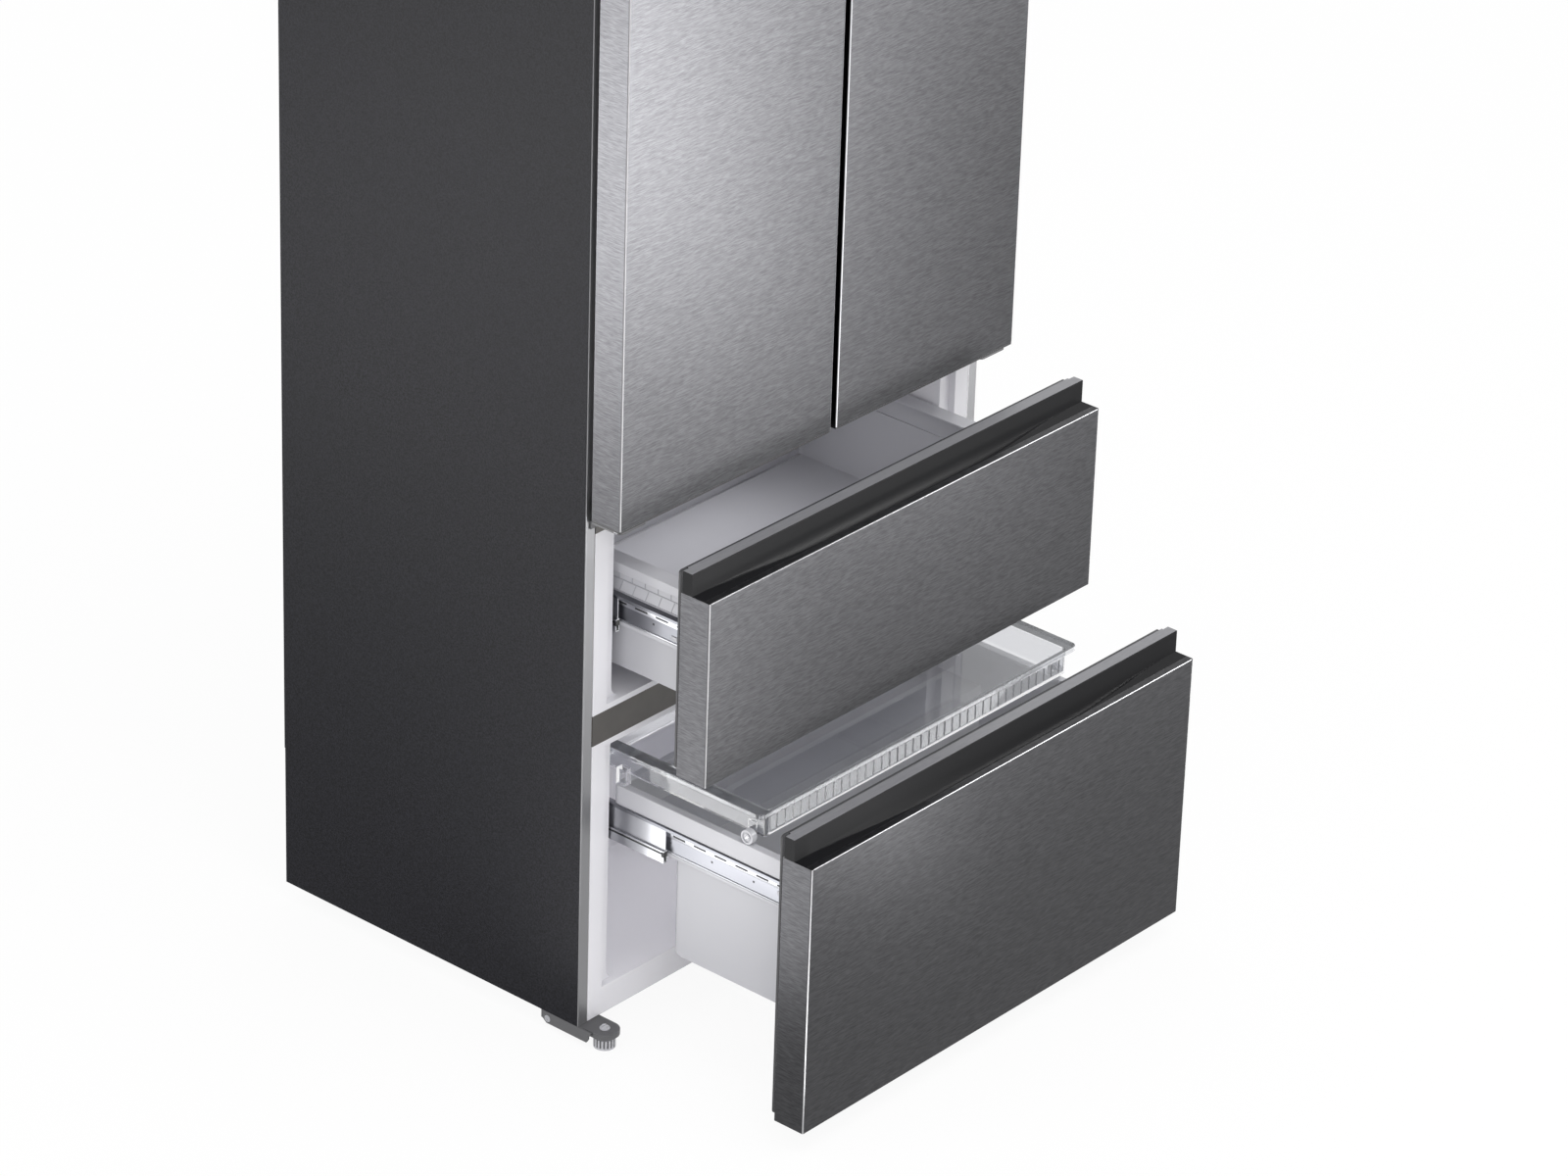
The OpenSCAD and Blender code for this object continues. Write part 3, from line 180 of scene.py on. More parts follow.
def card(name, at, size, radiance, turn=0.0, target=None):
    """A rectangle that shows only in reflections. It faces up, turned about the vertical, or
    looks at a target. Its power follows from how bright it should look."""
    above = (at[0], at[1], at[2] + 1)
    obj = lamp(name, at, target or above, size[0], 1)
    if target is None:
        spin = Matrix.Rotation(math.radians(turn), 4, "Z")
        flip = Matrix.Rotation(math.pi, 4, "X")
        obj.matrix_world = Matrix.Translation(at) @ spin @ flip
    obj.data.shape = "RECTANGLE"
    obj.data.size_y = size[1]
    obj.data.energy = radiance * math.pi * size[0] * size[1]
    obj.visible_diffuse = False
    obj.visible_transmission = False
    return obj


cards = [
    card("door_card", (2.31, -3.0, 0.1), (0.9, 2.6), 23.5, turn=VIEW_TURN),
    card("drawer_card", (0.74, -1.76, 0.04), (0.6, 1.6), 4.6, turn=VIEW_TURN),
    card("door_band_card", (-3.35, 2.1, 0.1), (1.4, 2.8), 16.0, turn=VIEW_TURN),
    card("drawer_band_card", (-1.38, 0.38, 0.04), (0.5, 1.7), 3.7, turn=VIEW_TURN),
    card("near_fold_card", (-0.59, -0.97, 0.05), (0.34, 0.66), 3.5),
    card("far_fold_card", (-0.1, -2.65, 0.05), (1.6, 1.8), 6.0),
    card("edge_card", (1.25, -1.5, 1.38), (1.6, 0.6), 8.0, target=(0.0, -0.4, 0.7)),
]
print("cards:", len(cards))

# %% [markdown]
# ## Floor and flag
# The background has to be white and the shadow on it soft. A share of the floor's look is plain
# white for every ray that forms the picture, and the rest is matt paper, which takes the shadow.
# A black cloth on the floor at the left is seen only in reflections. It draws the dark line
# beside each bright fold.

# %% Floor and flag
FLOOR_X = FLOOR_Y = (-14, 14)
FLAG_X = (-3.6, -0.6)
FLAG_Y = (-1.3, -0.66)
FLAG_Z = 0.03
WHITE_SHARE = 0.92


def sheet_of_stage(name, x, y, z):
    """A flat rectangle of the studio."""
    mesh = bpy.data.meshes.new(name)
    corners = [(x[0], y[0], z), (x[1], y[0], z), (x[1], y[1], z), (x[0], y[1], z)]
    mesh.from_pydata(corners, [], [(0, 1, 2, 3)])
    obj = bpy.data.objects.new(name, mesh)
    bpy.context.scene.collection.objects.link(obj)
    return obj


floor = sheet_of_stage("floor", FLOOR_X, FLOOR_Y, 0)
paper = bpy.data.materials.new("white_paper_sweep")
paper.use_nodes = True
sheet = paper.node_tree
sheet.nodes.clear()
rays = add(sheet, "ShaderNodeLightPath").outputs
seen = add(sheet, "ShaderNodeMath",
           {0: rays["Is Camera Ray"], 1: rays["Is Transmission Ray"]}, operation="MAXIMUM")
seen = add(sheet, "ShaderNodeMath",
           {0: seen.outputs[0], 1: rays["Is Glossy Ray"]}, operation="MAXIMUM")
share = add(sheet, "ShaderNodeMath", {0: seen.outputs[0], 1: WHITE_SHARE}, operation="MULTIPLY")
matt = add(sheet, "ShaderNodeBsdfDiffuse", {"Color": linear("#f0f0f0")})
glow = add(sheet, "ShaderNodeEmission", {"Color": linear("#ffffff"), "Strength": 1.0})
pick = add(sheet, "ShaderNodeMixShader",
           {0: share.outputs[0], 1: matt.outputs[0], 2: glow.outputs[0]})
add(sheet, "ShaderNodeOutputMaterial", {"Surface": pick.outputs[0]})
floor.data.materials.append(paper)

flag = sheet_of_stage("black_flag", FLAG_X, FLAG_Y, FLAG_Z)
cloth = bpy.data.materials.new("black_cloth")
cloth.use_nodes = True
cloth_shader = cloth.node_tree.nodes["Principled BSDF"]
cloth_shader.inputs["Base Color"].default_value = linear("#0d0d0d")
cloth_shader.inputs["Roughness"].default_value = 0.9
flag.data.materials.append(cloth)
for ray in ("visible_camera", "visible_diffuse", "visible_transmission", "visible_shadow",
            "visible_volume_scatter"):
    setattr(flag, ray, False)
print("floor and flag are on the stage")

# %% [markdown]
# ## Materials
# Each finish starts from what the real one is. A pattern is given by its real size: the number
# of repeats in a metre is 1000 divided by the size in millimetres. Stretching the coordinates
# before a noise turns grains into lines. The helpers below each add one thing to a material: a
# noise, two tones, a change of gloss, a relief, or a way through for light.

# %% Material helpers
materials = {}


def surface(name, colour, rough, metallic=0.0, **sockets):
    """A Principled material with a name; returns its tree and shader for the details."""
    mat = bpy.data.materials.new(name)
    mat.use_nodes = True
    tree = mat.node_tree
    shader = tree.nodes["Principled BSDF"]
    shader.inputs["Base Color"].default_value = linear(colour)
    shader.inputs["Roughness"].default_value = rough
    shader.inputs["Metallic"].default_value = metallic
    for key, value in sockets.items():
        shader.inputs[key.replace("_", " ")].default_value = value
    materials[name] = mat
    return tree, shader


def grain(tree, size_mm, stretch=(1, 1, 1), detail=3.0, rough=0.6):
    """Noise whose features are size_mm long, or longer along an axis with a small stretch."""
    place = add(tree, "ShaderNodeTexCoord").outputs["Object"]
    scale = [1000 / size_mm * s for s in stretch]
    shifted = add(tree, "ShaderNodeMapping", {"Vector": place, "Scale": scale})
    return add(tree, "ShaderNodeTexNoise", {"Vector": shifted.outputs[0], "Scale": 1.0,
                                            "Detail": detail, "Roughness": rough})


def vary(tree, shader, noise, low, high, spread=0.25):
    """Colours the surface between two tones, following a noise about its middle value."""
    ramp = add(tree, "ShaderNodeValToRGB", {"Fac": noise.outputs["Fac"]})
    ramp.color_ramp.elements[0].position = 0.5 - spread
    ramp.color_ramp.elements[1].position = 0.5 + spread
    ramp.color_ramp.elements[0].color = linear(low)
    ramp.color_ramp.elements[1].color = linear(high)
    tree.links.new(ramp.outputs["Color"], shader.inputs["Base Color"])
    return ramp.outputs["Color"]


def roughen(tree, shader, noise, low, high):
    """Lets the roughness follow a noise between two values."""
    spread = add(tree, "ShaderNodeMapRange", {"Value": noise.outputs["Fac"], "From Min": 0.25,
                                              "From Max": 0.75, "To Min": low, "To Max": high})
    tree.links.new(spread.outputs[0], shader.inputs["Roughness"])


def bump(tree, shader, noise, depth_mm, strength=1.0):
    """Turns a noise into relief of a given depth."""
    relief = add(tree, "ShaderNodeBump", {"Height": noise.outputs["Fac"], "Strength": strength,
                                          "Distance": depth_mm * MM})
    tree.links.new(relief.outputs[0], shader.inputs["Normal"])


def clear_shadow(tree, shader):
    """Lets light pass straight through clear plastic, so that what stands below stays bright."""
    rays = add(tree, "ShaderNodeLightPath").outputs
    light = add(tree, "ShaderNodeMath",
                {0: rays["Is Shadow Ray"], 1: rays["Is Diffuse Ray"]}, operation="MAXIMUM")
    through = add(tree, "ShaderNodeBsdfTransparent", {"Color": linear("#f8f9f9")})
    pick = add(tree, "ShaderNodeMixShader",
               {0: light.outputs[0], 1: shader.outputs[0], 2: through.outputs[0]})
    tree.links.new(pick.outputs[0], tree.nodes["Material Output"].inputs["Surface"])


# %% [markdown]
# ## Brushed steel
# The doors and drawer fronts are brushed 430 stainless: thousands of short, shallow, level
# scratches. They spread a reflection up and down much more than sideways, which is anisotropy.
# The real ones are finer than 0.1 mm. These are drawn 1.2 mm apart and 15 mm long, as coarse as
# they need to be to show. Each fold has a painted highlight: a lighter grey in the base colour
# draws it as a fine bright line, which a real fold shows as the reflection of a light. The
# material finds the fold by the surface's own normal, which points between two flat sides there.

# %% Brushed steel
SCRATCH_APART_MM = 1.2
SCRATCH_LONG_MM = 15
# The product of two parts of a normal is 0.5 halfway round a fold and 0 on a flat side.
FOLD_STARTS, FOLD_FULL = 0.25, 0.4

tree, shader = surface("brushed_stainless", "#565658", 0.3, 1.0, Anisotropic=0.5,
                       Anisotropic_Rotation=0.25)
squeeze = SCRATCH_APART_MM / SCRATCH_LONG_MM
scratches = grain(tree, SCRATCH_APART_MM, (squeeze, squeeze, 1.0), 2.0, 0.5)
plain = vary(tree, shader, scratches, "#353537", "#49494b", 0.2)
roughen(tree, shader, scratches, 0.29, 0.32)
own = add(tree, "ShaderNodeTexCoord").outputs["Normal"]
part = add(tree, "ShaderNodeSeparateXYZ", {0: own}).outputs
upright = add(tree, "ShaderNodeMath", {0: part["X"], 1: part["Y"]}, operation="MULTIPLY")
upright = add(tree, "ShaderNodeMath", {0: upright.outputs[0]}, operation="ABSOLUTE")
level = add(tree, "ShaderNodeMath", {0: part["Y"], 1: part["Z"]}, operation="MULTIPLY")
level = add(tree, "ShaderNodeMath", {0: level.outputs[0]}, operation="ABSOLUTE")
folded = add(tree, "ShaderNodeMath",
             {0: upright.outputs[0], 1: level.outputs[0]}, operation="MAXIMUM")
# Painted highlight: on the folds the base colour turns to the lighter grey #b8b8ba.
painted_fold_highlight = add(tree, "ShaderNodeMapRange", {"Value": folded.outputs[0], "From Min": FOLD_STARTS,
                                         "From Max": FOLD_FULL})
mix = add(tree, "ShaderNodeMix", {0: painted_fold_highlight.outputs[0], 6: plain, 7: linear("#b8b8ba")},
          data_type="RGBA")
tree.links.new(mix.outputs[2], shader.inputs["Base Color"])
print("brushed steel: scratches", SCRATCH_APART_MM, "mm apart")

# %% [markdown]
# ## Grained steel of the case
# The case is pre-coated steel with an embossed leather grain about 2.6 mm across. It is nearly
# black, and the grain breaks its soft sheen up. The fold round the front opening is drawn smooth,
# without the grain, in a lighter and more metallic grey: painted light for the light that the
# front face catches there. One material does both: it changes where the surface lies within
# 1.3 mm of the panel's front.

# %% Grained steel of the case
GRAIN_MM = 2.6
GRAIN_DEPTH_MM = 0.3
FOLD_DEPTH_MM = 1.3

fold_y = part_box("left_side_panel")[0].y + FOLD_DEPTH_MM * MM
tree, shader = surface("leather_grain_steel", "#151519", 0.55, Specular_IOR_Level=0.12)
place = add(tree, "ShaderNodeTexCoord").outputs["Object"]
depth = add(tree, "ShaderNodeSeparateXYZ", {0: place}).outputs["Y"]
flat = add(tree, "ShaderNodeMath", {0: depth, 1: fold_y}, operation="LESS_THAN").outputs[0]
hide = grain(tree, GRAIN_MM, (1, 1, 1), 4.0, 0.6)
coat = vary(tree, shader, hide, "#08080c", "#222228", 0.16)
# Painted light: the front strip's lighter grey #8a8a8c stands in for the light it catches.
mix = add(tree, "ShaderNodeMix", {0: flat, 6: coat, 7: linear("#8a8a8c")}, data_type="RGBA")
tree.links.new(mix.outputs[2], shader.inputs["Base Color"])
gloss = add(tree, "ShaderNodeMapRange", {"Value": flat, "To Min": 0.52, "To Max": 0.36})
tree.links.new(gloss.outputs[0], shader.inputs["Roughness"])
metal = add(tree, "ShaderNodeMath", {0: flat, 1: 0.8}, operation="MULTIPLY")
tree.links.new(metal.outputs[0], shader.inputs["Metallic"])
height = add(tree, "ShaderNodeMath", {0: hide.outputs["Fac"], 1: flat}, operation="SUBTRACT",
             use_clamp=True)
relief = add(tree, "ShaderNodeBump", {"Height": height.outputs[0], "Strength": 0.7,
                                      "Distance": GRAIN_DEPTH_MM * MM})
tree.links.new(relief.outputs[0], shader.inputs["Normal"])
print("case grain:", GRAIN_MM, "mm, flat in front of y =", round(fold_y, 4))

# %% [markdown]
# ## Paints and plain metals
# The bars, brackets, rails and machinery each have a finish of their own. Most need only two
# close tones of one colour or a little relief, so that a large face isn't perfectly even.

# %% Paints and plain metals
# Satin paint of the bars between the compartments: a warm dark grey with a soft, even gleam.
tree, shader = surface("satin_dark_paint", "#45423f", 0.34, 0.3)
peel = grain(tree, 40, detail=2.0)
vary(tree, shader, peel, "#3f3c3a", "#4b4845", 0.3)
roughen(tree, shader, peel, 0.3, 0.4)

# Grey powder coat of the brackets: matt, with the fine pebbles of baked powder.
tree, shader = surface("grey_powder_coat", "#5a5a5c", 0.45, 0.2)
peel = grain(tree, 1.2)
vary(tree, shader, peel, "#545456", "#606062", 0.3)
bump(tree, shader, peel, 0.04, 0.4)

# Zinc-plated steel: pale and slightly blue, rolled smooth along the rail.
tree, shader = surface("zinc_plated_steel", "#aeafb3", 0.28, 1.0)
cloud = grain(tree, 60, (1, 0.2, 1), 1.0)
vary(tree, shader, cloud, "#a9aaae", "#b4b5b9", 0.3)

# The plain steel of the rail channels, darker than the zinc: painted shade for the shadowed
# recess of each channel.
tree, shader = surface("rail_steel_painted_shade", "#7e7f84", 0.32, 1.0)
cloud = grain(tree, 40, (1, 0.2, 1), 1.0)
vary(tree, shader, cloud, "#77787d", "#87888d", 0.3)

# Bare aluminium fins: bright, with a gloss that comes and goes.
tree, shader = surface("aluminium_fin_stock", "#c2c3c6", 0.38, 1.0)
cloud = grain(tree, 8)
roughen(tree, shader, cloud, 0.3, 0.45)

# Stove enamel of the compressor and condenser: black, a little uneven from the spray.
tree, shader = surface("black_stove_enamel", "#141416", 0.38)
peel = grain(tree, 1.5)
bump(tree, shader, peel, 0.05, 0.3)
print("metals and paints:", len(materials))

# %% [markdown]
# ## Opaque plastics, rubber and foam
# Moulded plastic copies its mould: polished steel leaves a gloss, and an etched one a dull,
# fine texture. Nearly all of these have a shallow relief of the texture's size.

# %% Opaque plastics, rubber and foam
# Vacuum-formed polystyrene of the liners: white, softly glossy, with a faint orange peel.
tree, shader = surface("polystyrene_liner", "#f0eff3", 0.34)
peel = grain(tree, 5)
bump(tree, shader, peel, 0.04, 0.25)
roughen(tree, shader, peel, 0.3, 0.42)

# White polypropylene of the rims and clips: glossier than the liner, and greyer.
tree, shader = surface("moulded_white_rim", "#bebec3", 0.3)
peel = grain(tree, 3)
bump(tree, shader, peel, 0.02, 0.25)

# Frosted polypropylene of the bins: milky, with a fine texture that dulls it.
tree, shader = surface("frosted_polypropylene", "#b8b8bd", 0.42)
peel = grain(tree, 2)
bump(tree, shader, peel, 0.03, 0.3)

# The same plastic in the ribs of a bin's edge, a little darker: painted shade for the shadows
# of the ribs.
tree, shader = surface("shaded_polypropylene", "#a0a0a6", 0.4)
peel = grain(tree, 2)
bump(tree, shader, peel, 0.03, 0.3)

# ABS of the handles, moulded in charcoal: a dull satin, nearly black inside the scoop.
tree, shader = surface("charcoal_abs", "#19191b", 0.3, Specular_IOR_Level=0.06)
peel = grain(tree, 0.9)
bump(tree, shader, peel, 0.02, 0.25)
roughen(tree, shader, peel, 0.26, 0.34)

# A lighter grey on the level top of each handle: painted light, a lit copy of the charcoal that
# stands in for the light of the sky on it.
tree, shader = surface("handle_top_painted_light", "#86868a", 0.34, 0.2)
peel = grain(tree, 2.0, (0.1, 1, 1))
vary(tree, shader, peel, "#7e7e82", "#8e8e92", 0.25)
roughen(tree, shader, peel, 0.3, 0.38)

# Black polypropylene of the bumpers and rollers: matt from its mould.
tree, shader = surface("black_polypropylene", "#1a1a1c", 0.5)
peel = grain(tree, 0.8)
bump(tree, shader, peel, 0.03, 0.35)

# Soft PVC of the magnetic gaskets: it shows as the thin shadow line behind each front.
tree, shader = surface("gasket_pvc", "#333336", 0.6, Sheen_Weight=0.1)
peel = grain(tree, 2)
bump(tree, shader, peel, 0.05, 0.3)

# Polyurethane foam, cut: dull straw yellow, pitted by its cells.
tree, shader = surface("polyurethane_foam", "#d9cfa6", 0.9)
cells = grain(tree, 1.6)
vary(tree, shader, cells, "#cbbf90", "#e2d9b4", 0.25)
bump(tree, shader, cells, 0.3, 0.5)
print("with the opaque plastics:", len(materials))

# %% [markdown]
# ## Clear plastic and glass
# Clear material is hard to see, and the eye finds it by its edges, which look darker. Here that
# darkness is painted: the tray's rim and the walls of its slots have a smoky grey material of
# their own, painted shade for the dark refractions along its edges.

# %% Clear plastic and glass
# Clear polystyrene of the tray: bright and smooth, with a slightly grey body.
tree, shader = surface("clear_polystyrene", "#e2e3e6", 0.03, Transmission_Weight=0.97, IOR=1.45)
wave = grain(tree, 40)
bump(tree, shader, wave, 0.04, 0.12)
clear_shadow(tree, shader)

# The same plastic along its rim and in its slots, in a smoky grey: painted shade for the dark
# refractions there.
tree, shader = surface("polystyrene_painted_edge_shade", "#5d5f63", 0.12, Transmission_Weight=0.45, IOR=1.45)
wave = grain(tree, 30)
vary(tree, shader, wave, "#525458", "#6a6c70", 0.3)
clear_shadow(tree, shader)

# Toughened glass of the shelves: clear and flat, with its faint green.
tree, shader = surface("toughened_glass", "#e6f2ee", 0.02, Transmission_Weight=0.97, IOR=1.5)
wave = grain(tree, 60)
bump(tree, shader, wave, 0.03, 0.1)
clear_shadow(tree, shader)
print("all materials:", len(materials))

# %% [markdown]
# ## Which piece has which finish
# The CAD record gives every node a slot, such as liner or handle. The slots are few, so some
# nodes name a finish of their own.

# %% Materials on the CAD nodes
MATERIAL_OF_SLOT = {
    "case_paint": "leather_grain_steel", "stainless": "brushed_stainless",
    "zinc": "zinc_plated_steel", "liner": "polystyrene_liner",
    "clear_plastic": "clear_polystyrene", "frosted_plastic": "frosted_polypropylene",
    "handle": "charcoal_abs", "black_plastic": "black_polypropylene",
    "white_plastic": "moulded_white_rim", "gasket": "gasket_pvc", "foam": "polyurethane_foam",
    "glass": "toughened_glass", "aluminium": "aluminium_fin_stock",
    "black_steel": "black_stove_enamel",
}
MATERIAL_OF_NODE = {
    "upper_bin_rim": "moulded_white_rim", "lower_bin_rim": "moulded_white_rim",
    "front_mullions": "satin_dark_paint", "centre_hinges": "grey_powder_coat",
    "foot_brackets": "grey_powder_coat", "upper_drawer_rails": "rail_steel_painted_shade",
    "lower_drawer_rails": "rail_steel_painted_shade",
}
for name, obj in nodes.items():
    wanted = MATERIAL_OF_NODE.get(name, MATERIAL_OF_SLOT[SLOT[name]])
    obj.data.materials.clear()
    obj.data.materials.append(materials[wanted])
print("nodes with a material:", len(nodes))

# %% [markdown]
# ## Rounded edges
# No folded sheet or moulded plastic has a sharp edge, and it is the small highlight along each
# edge that tells the eye so. CAD solids come in as loose triangles, so a copy of each is merged
# and its flat faces joined again. The folds of the steel skins are rounded in the mesh, wide
# enough to catch the light, and then a Bevel modifier rounds what is left of the edges.

# %% Merged copies with rounded folds
ROUND_MM = {
    "left_door_skin": 0.35, "right_door_skin": 0.35, "left_side_panel": 0.35,
    "right_side_panel": 0.35, "front_mullions": 0.35, "left_door_caps": 0.8,
    "right_door_caps": 0.8, "left_door_liner": 1.2, "right_door_liner": 1.2,
    "left_door_bins": 0.7, "right_door_bins": 0.7, "upper_front_skin": 0.35,
    "lower_front_skin": 0.35, "upper_front_liner": 1.0, "lower_front_liner": 1.0,
    "upper_bin": 0.8, "lower_bin": 0.8, "upper_bin_rim": 1.2, "lower_bin_rim": 1.2,
    "clear_tray": 0.6, "upper_freezer_liner": 0.8, "lower_freezer_liner": 0.8,
    "left_fridge_liner": 0.8, "right_fridge_liner": 0.8, "left_crisper": 0.8,
    "right_crisper": 0.8, "top_hinge_covers": 1.6, "centre_hinges": 0.6, "foot_brackets": 0.5,
    "left_front_foot": 0.7, "right_front_foot": 0.7, "fixed_rails": 0.3,
    "upper_drawer_rails": 0.3, "lower_drawer_rails": 0.3, "upper_mid_rails": 0.3,
    "lower_mid_rails": 0.3, "glass_shelves": 0.6, "machine_cover": 0.25, "compressor": 0.8,
}
FOLD_ROUND_MM = 1.6
LIP_ROUND_MM = 2.0
COPLANAR = math.radians(0.6)
# In metres: a front's own edge is longer than the first, and as near its box as the second.
LONG_EDGE = 0.1
TOUCHING = 1e-5


def round_folds(bm, node):
    """Rounds a skin's upright front folds and, on a drawer front, the lip over its top."""
    low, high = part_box(node)
    front = [e for e in bm.edges if e.calc_length() > LONG_EDGE
             and all(v.co.y < low.y + TOUCHING for v in e.verts)]
    upright = [e for e in front if abs(e.verts[0].co.z - e.verts[1].co.z) > LONG_EDGE]
    bmesh.ops.bevel(bm, geom=upright, offset=FOLD_ROUND_MM * MM, segments=4, profile=0.5,
                    affect="EDGES")
    lip = []
    if node.endswith("front_skin"):
        lip = [e for e in bm.edges if e.calc_length() > LONG_EDGE
               and all(v.co.z > high.z - TOUCHING and v.co.y < low.y + TOUCHING for v in e.verts)]
    bmesh.ops.bevel(bm, geom=lip, offset=LIP_ROUND_MM * MM, segments=4, profile=0.5,
                    affect="EDGES")
    print(node, "folds:", len(upright), "rolled edges:", len(lip))


def merged_copy(node):
    """The node's mesh with its triangles joined into whole faces."""
    bm = bmesh.new()
    bm.from_mesh(nodes[node].data)
    bmesh.ops.remove_doubles(bm, verts=bm.verts, dist=1e-6)
    bmesh.ops.dissolve_limit(bm, angle_limit=COPLANAR, verts=bm.verts, edges=bm.edges)
    if node.endswith("_skin"):
        round_folds(bm, node)
    mesh = bpy.data.meshes.new(node + "_soft")
    bm.to_mesh(mesh)
    bm.free()
    return mesh


# %% [markdown]
# ## Finishing a piece
# Steel fronts mirror what stands below them. The open drawers stay out of those reflections, as
# the doors and fronts would otherwise show the dark inside of the drawer below. Smooth shading
# bends the light across an edge. Round a large flat face, such as a door, even a slight bend
# would show as a gradient, so the edges of large faces stay sharp in the shading.

# %% Finish, shading and tray
UNMIRRORED = ("upper_drawer", "lower_drawer", "tray", "tray_rollers")
LARGE_M2 = 0.02
FLAT_ANGLE = 0.001
SOFT_EDGE = math.radians(35)
# The tray's slots: how large one wall is at most, and how far behind the tray's front it lies
SLOT_WALL_M2 = 2e-4
SLOTTED_FRONT_MM = 15


def finished(name, mesh, material, body, *stands_for, slot=None):
    """Links a piece, gives it a material and a body, and hides the nodes it replaces."""
    obj = bpy.data.objects.new(name, mesh)
    bpy.context.scene.collection.objects.link(obj)
    mesh.materials.clear()
    mesh.materials.append(materials[material])
    if stands_for:
        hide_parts(*stands_for)
    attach(obj, body)
    obj.visible_glossy = body not in UNMIRRORED
    return obj


def smooth_by_angle(mesh, degrees=35):
    """Smooth faces; edges that turn more, and those round a large flat face, stay sharp."""
    bm = bmesh.new()
    bm.from_mesh(mesh)
    limit = math.radians(degrees)
    for face in bm.faces:
        face.smooth = True
    for edge in bm.edges:
        widest = max(face.calc_area() for face in edge.link_faces)
        edge.smooth = (len(edge.link_faces) == 2 and edge.calc_face_angle(0) < limit
                       and (widest < LARGE_M2 or edge.calc_face_angle(0) < FLAT_ANGLE))
    bm.to_mesh(mesh)
    bm.free()


def paint_tray_edge_shade(obj):
    """Gives the tray's rim and slot walls a smoky grey: painted shade for their dark refractions.
    """
    low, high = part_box("clear_tray")
    obj.data.materials.append(materials["polystyrene_painted_edge_shade"])
    for face in obj.data.polygons:
        rim = face.normal.z > 0.9 and face.center.z > high.z - 1 * MM
        slot_wall = (abs(face.normal.x) > 0.9 and face.area < SLOT_WALL_M2
                     and face.center.y < low.y + SLOTTED_FRONT_MM * MM)
        face.material_index = 1 if rim or slot_wall else 0


for node, radius in ROUND_MM.items():
    piece_name = node.replace("_skin", "_steel") + "_rounded"
    finish = nodes[node].data.materials[0].name
    obj = finished(piece_name, merged_copy(node), finish, find_body(node), node, slot=SLOT[node])
    if node == "clear_tray":
        paint_tray_edge_shade(obj)
    edge = obj.modifiers.new("rounded edges", "BEVEL")
    edge.width = radius * MM
    edge.segments = 2
    edge.limit_method = "ANGLE"
    edge.angle_limit = SOFT_EDGE
    edge.use_clamp_overlap = True
    edge.harden_normals = True
    smooth_by_angle(obj.data)
print("softened pieces:", len(ROUND_MM))

# %% [markdown]
# ## Handles
# Each handle is one dark moulding across the drawer: a wall at the back, and in front of it a
# scoop for the fingers, which grows deeper and wider from both ends. CAD cuts it with simple
# shapes. Here one cross-section is drawn as a list of points for each place along the handle,
# and the points of neighbouring sections are joined into faces, which is how a lofted surface
# is made by hand.

# %% Handle sections
# Distances behind the steel front and heights above its top edge, in millimetres
LIP_MM = 12.5
NOSE_MM = LIP_MM + 0.1
NOSE_DROP_MM = 4.9
WALL_MM = 35.0
BACK_MM = 57.0
DEEP_MM = 34.0
RISE_MM = 37.0
ROUND_TOP_MM = 1.2
SCOOP_TOP_MM = 9
# Along the handle: where the scoop starts, how long it grows, and the notch at each end
END_MM = 30.0
TAPER_MM = 240.0
NOTCH_MM = 12
NOTCH_DEEP_MM = 3.0
SCOOP_STEPS = 18
# The scoop's curve: how fast it widens, which share of its depth comes evenly, and where its
# two inner control points lie, as shares of its width and depth
WIDEN_POWER = 1.08
EVEN_DEPTH = 0.35
FRONT_LEAN = 0.12
FRONT_DROP = 0.92
BACK_LEAN = 0.02
BACK_DROP = 1.12


def arc(cx, cy, r, start, end, steps=5):
    """Points on an arc, in degrees."""
    angles = [math.radians(start + (end - start) * i / steps) for i in range(steps + 1)]
    return [(cx + r * math.cos(a), cy + r * math.sin(a)) for a in angles]


def wall_section(back_step):
    """The wall above the steel: up the front, over the top and down the back. The points
    beside each rounded edge keep the flat faces flat in the shading."""
    r = ROUND_TOP_MM
    back = BACK_MM - back_step
    hold = r + 0.5
    return ([(WALL_MM, RISE_MM - hold)] + arc(WALL_MM + r, RISE_MM - r, r, 180, 90)
            + [(WALL_MM + hold, RISE_MM), (back - hold, RISE_MM)]
            + arc(back - r, RISE_MM - r, r, 90, 0) + [(back, RISE_MM - hold), (back, 0.0)])


def handle_section(u):
    """Section at u mm from the drawer's end: distance behind the front, and height."""
    s = min(max((u - END_MM) / TAPER_MM, 0.0), 1.0)
    width = (WALL_MM - LIP_MM) * (1 - (1 - s) ** WIDEN_POWER)
    ease = s * s * (3 - 2 * s)
    deep = DEEP_MM * (EVEN_DEPTH * s + (1 - EVEN_DEPTH) * ease)
    edge = WALL_MM - width
    a = Vector((edge, 0))
    b = Vector((edge + FRONT_LEAN * width, -FRONT_DROP * deep))
    c = Vector((WALL_MM - BACK_LEAN * width, -BACK_DROP * deep))
    d = Vector((WALL_MM, SCOOP_TOP_MM * ease))
    scoop = []
    for i in range(SCOOP_STEPS + 1):
        t = i / SCOOP_STEPS
        p = a * (1 - t) ** 3 + b * 3 * t * (1 - t) ** 2 + c * 3 * t * t * (1 - t) + d * t ** 3
        scoop.append((p.x, p.y))
    step = NOTCH_DEEP_MM if u < NOTCH_MM else 0.0
    return [(NOSE_MM, -NOSE_DROP_MM), (NOSE_MM, 0.0)] + scoop + wall_section(step)


print("points in a handle section:", len(handle_section(END_MM)))

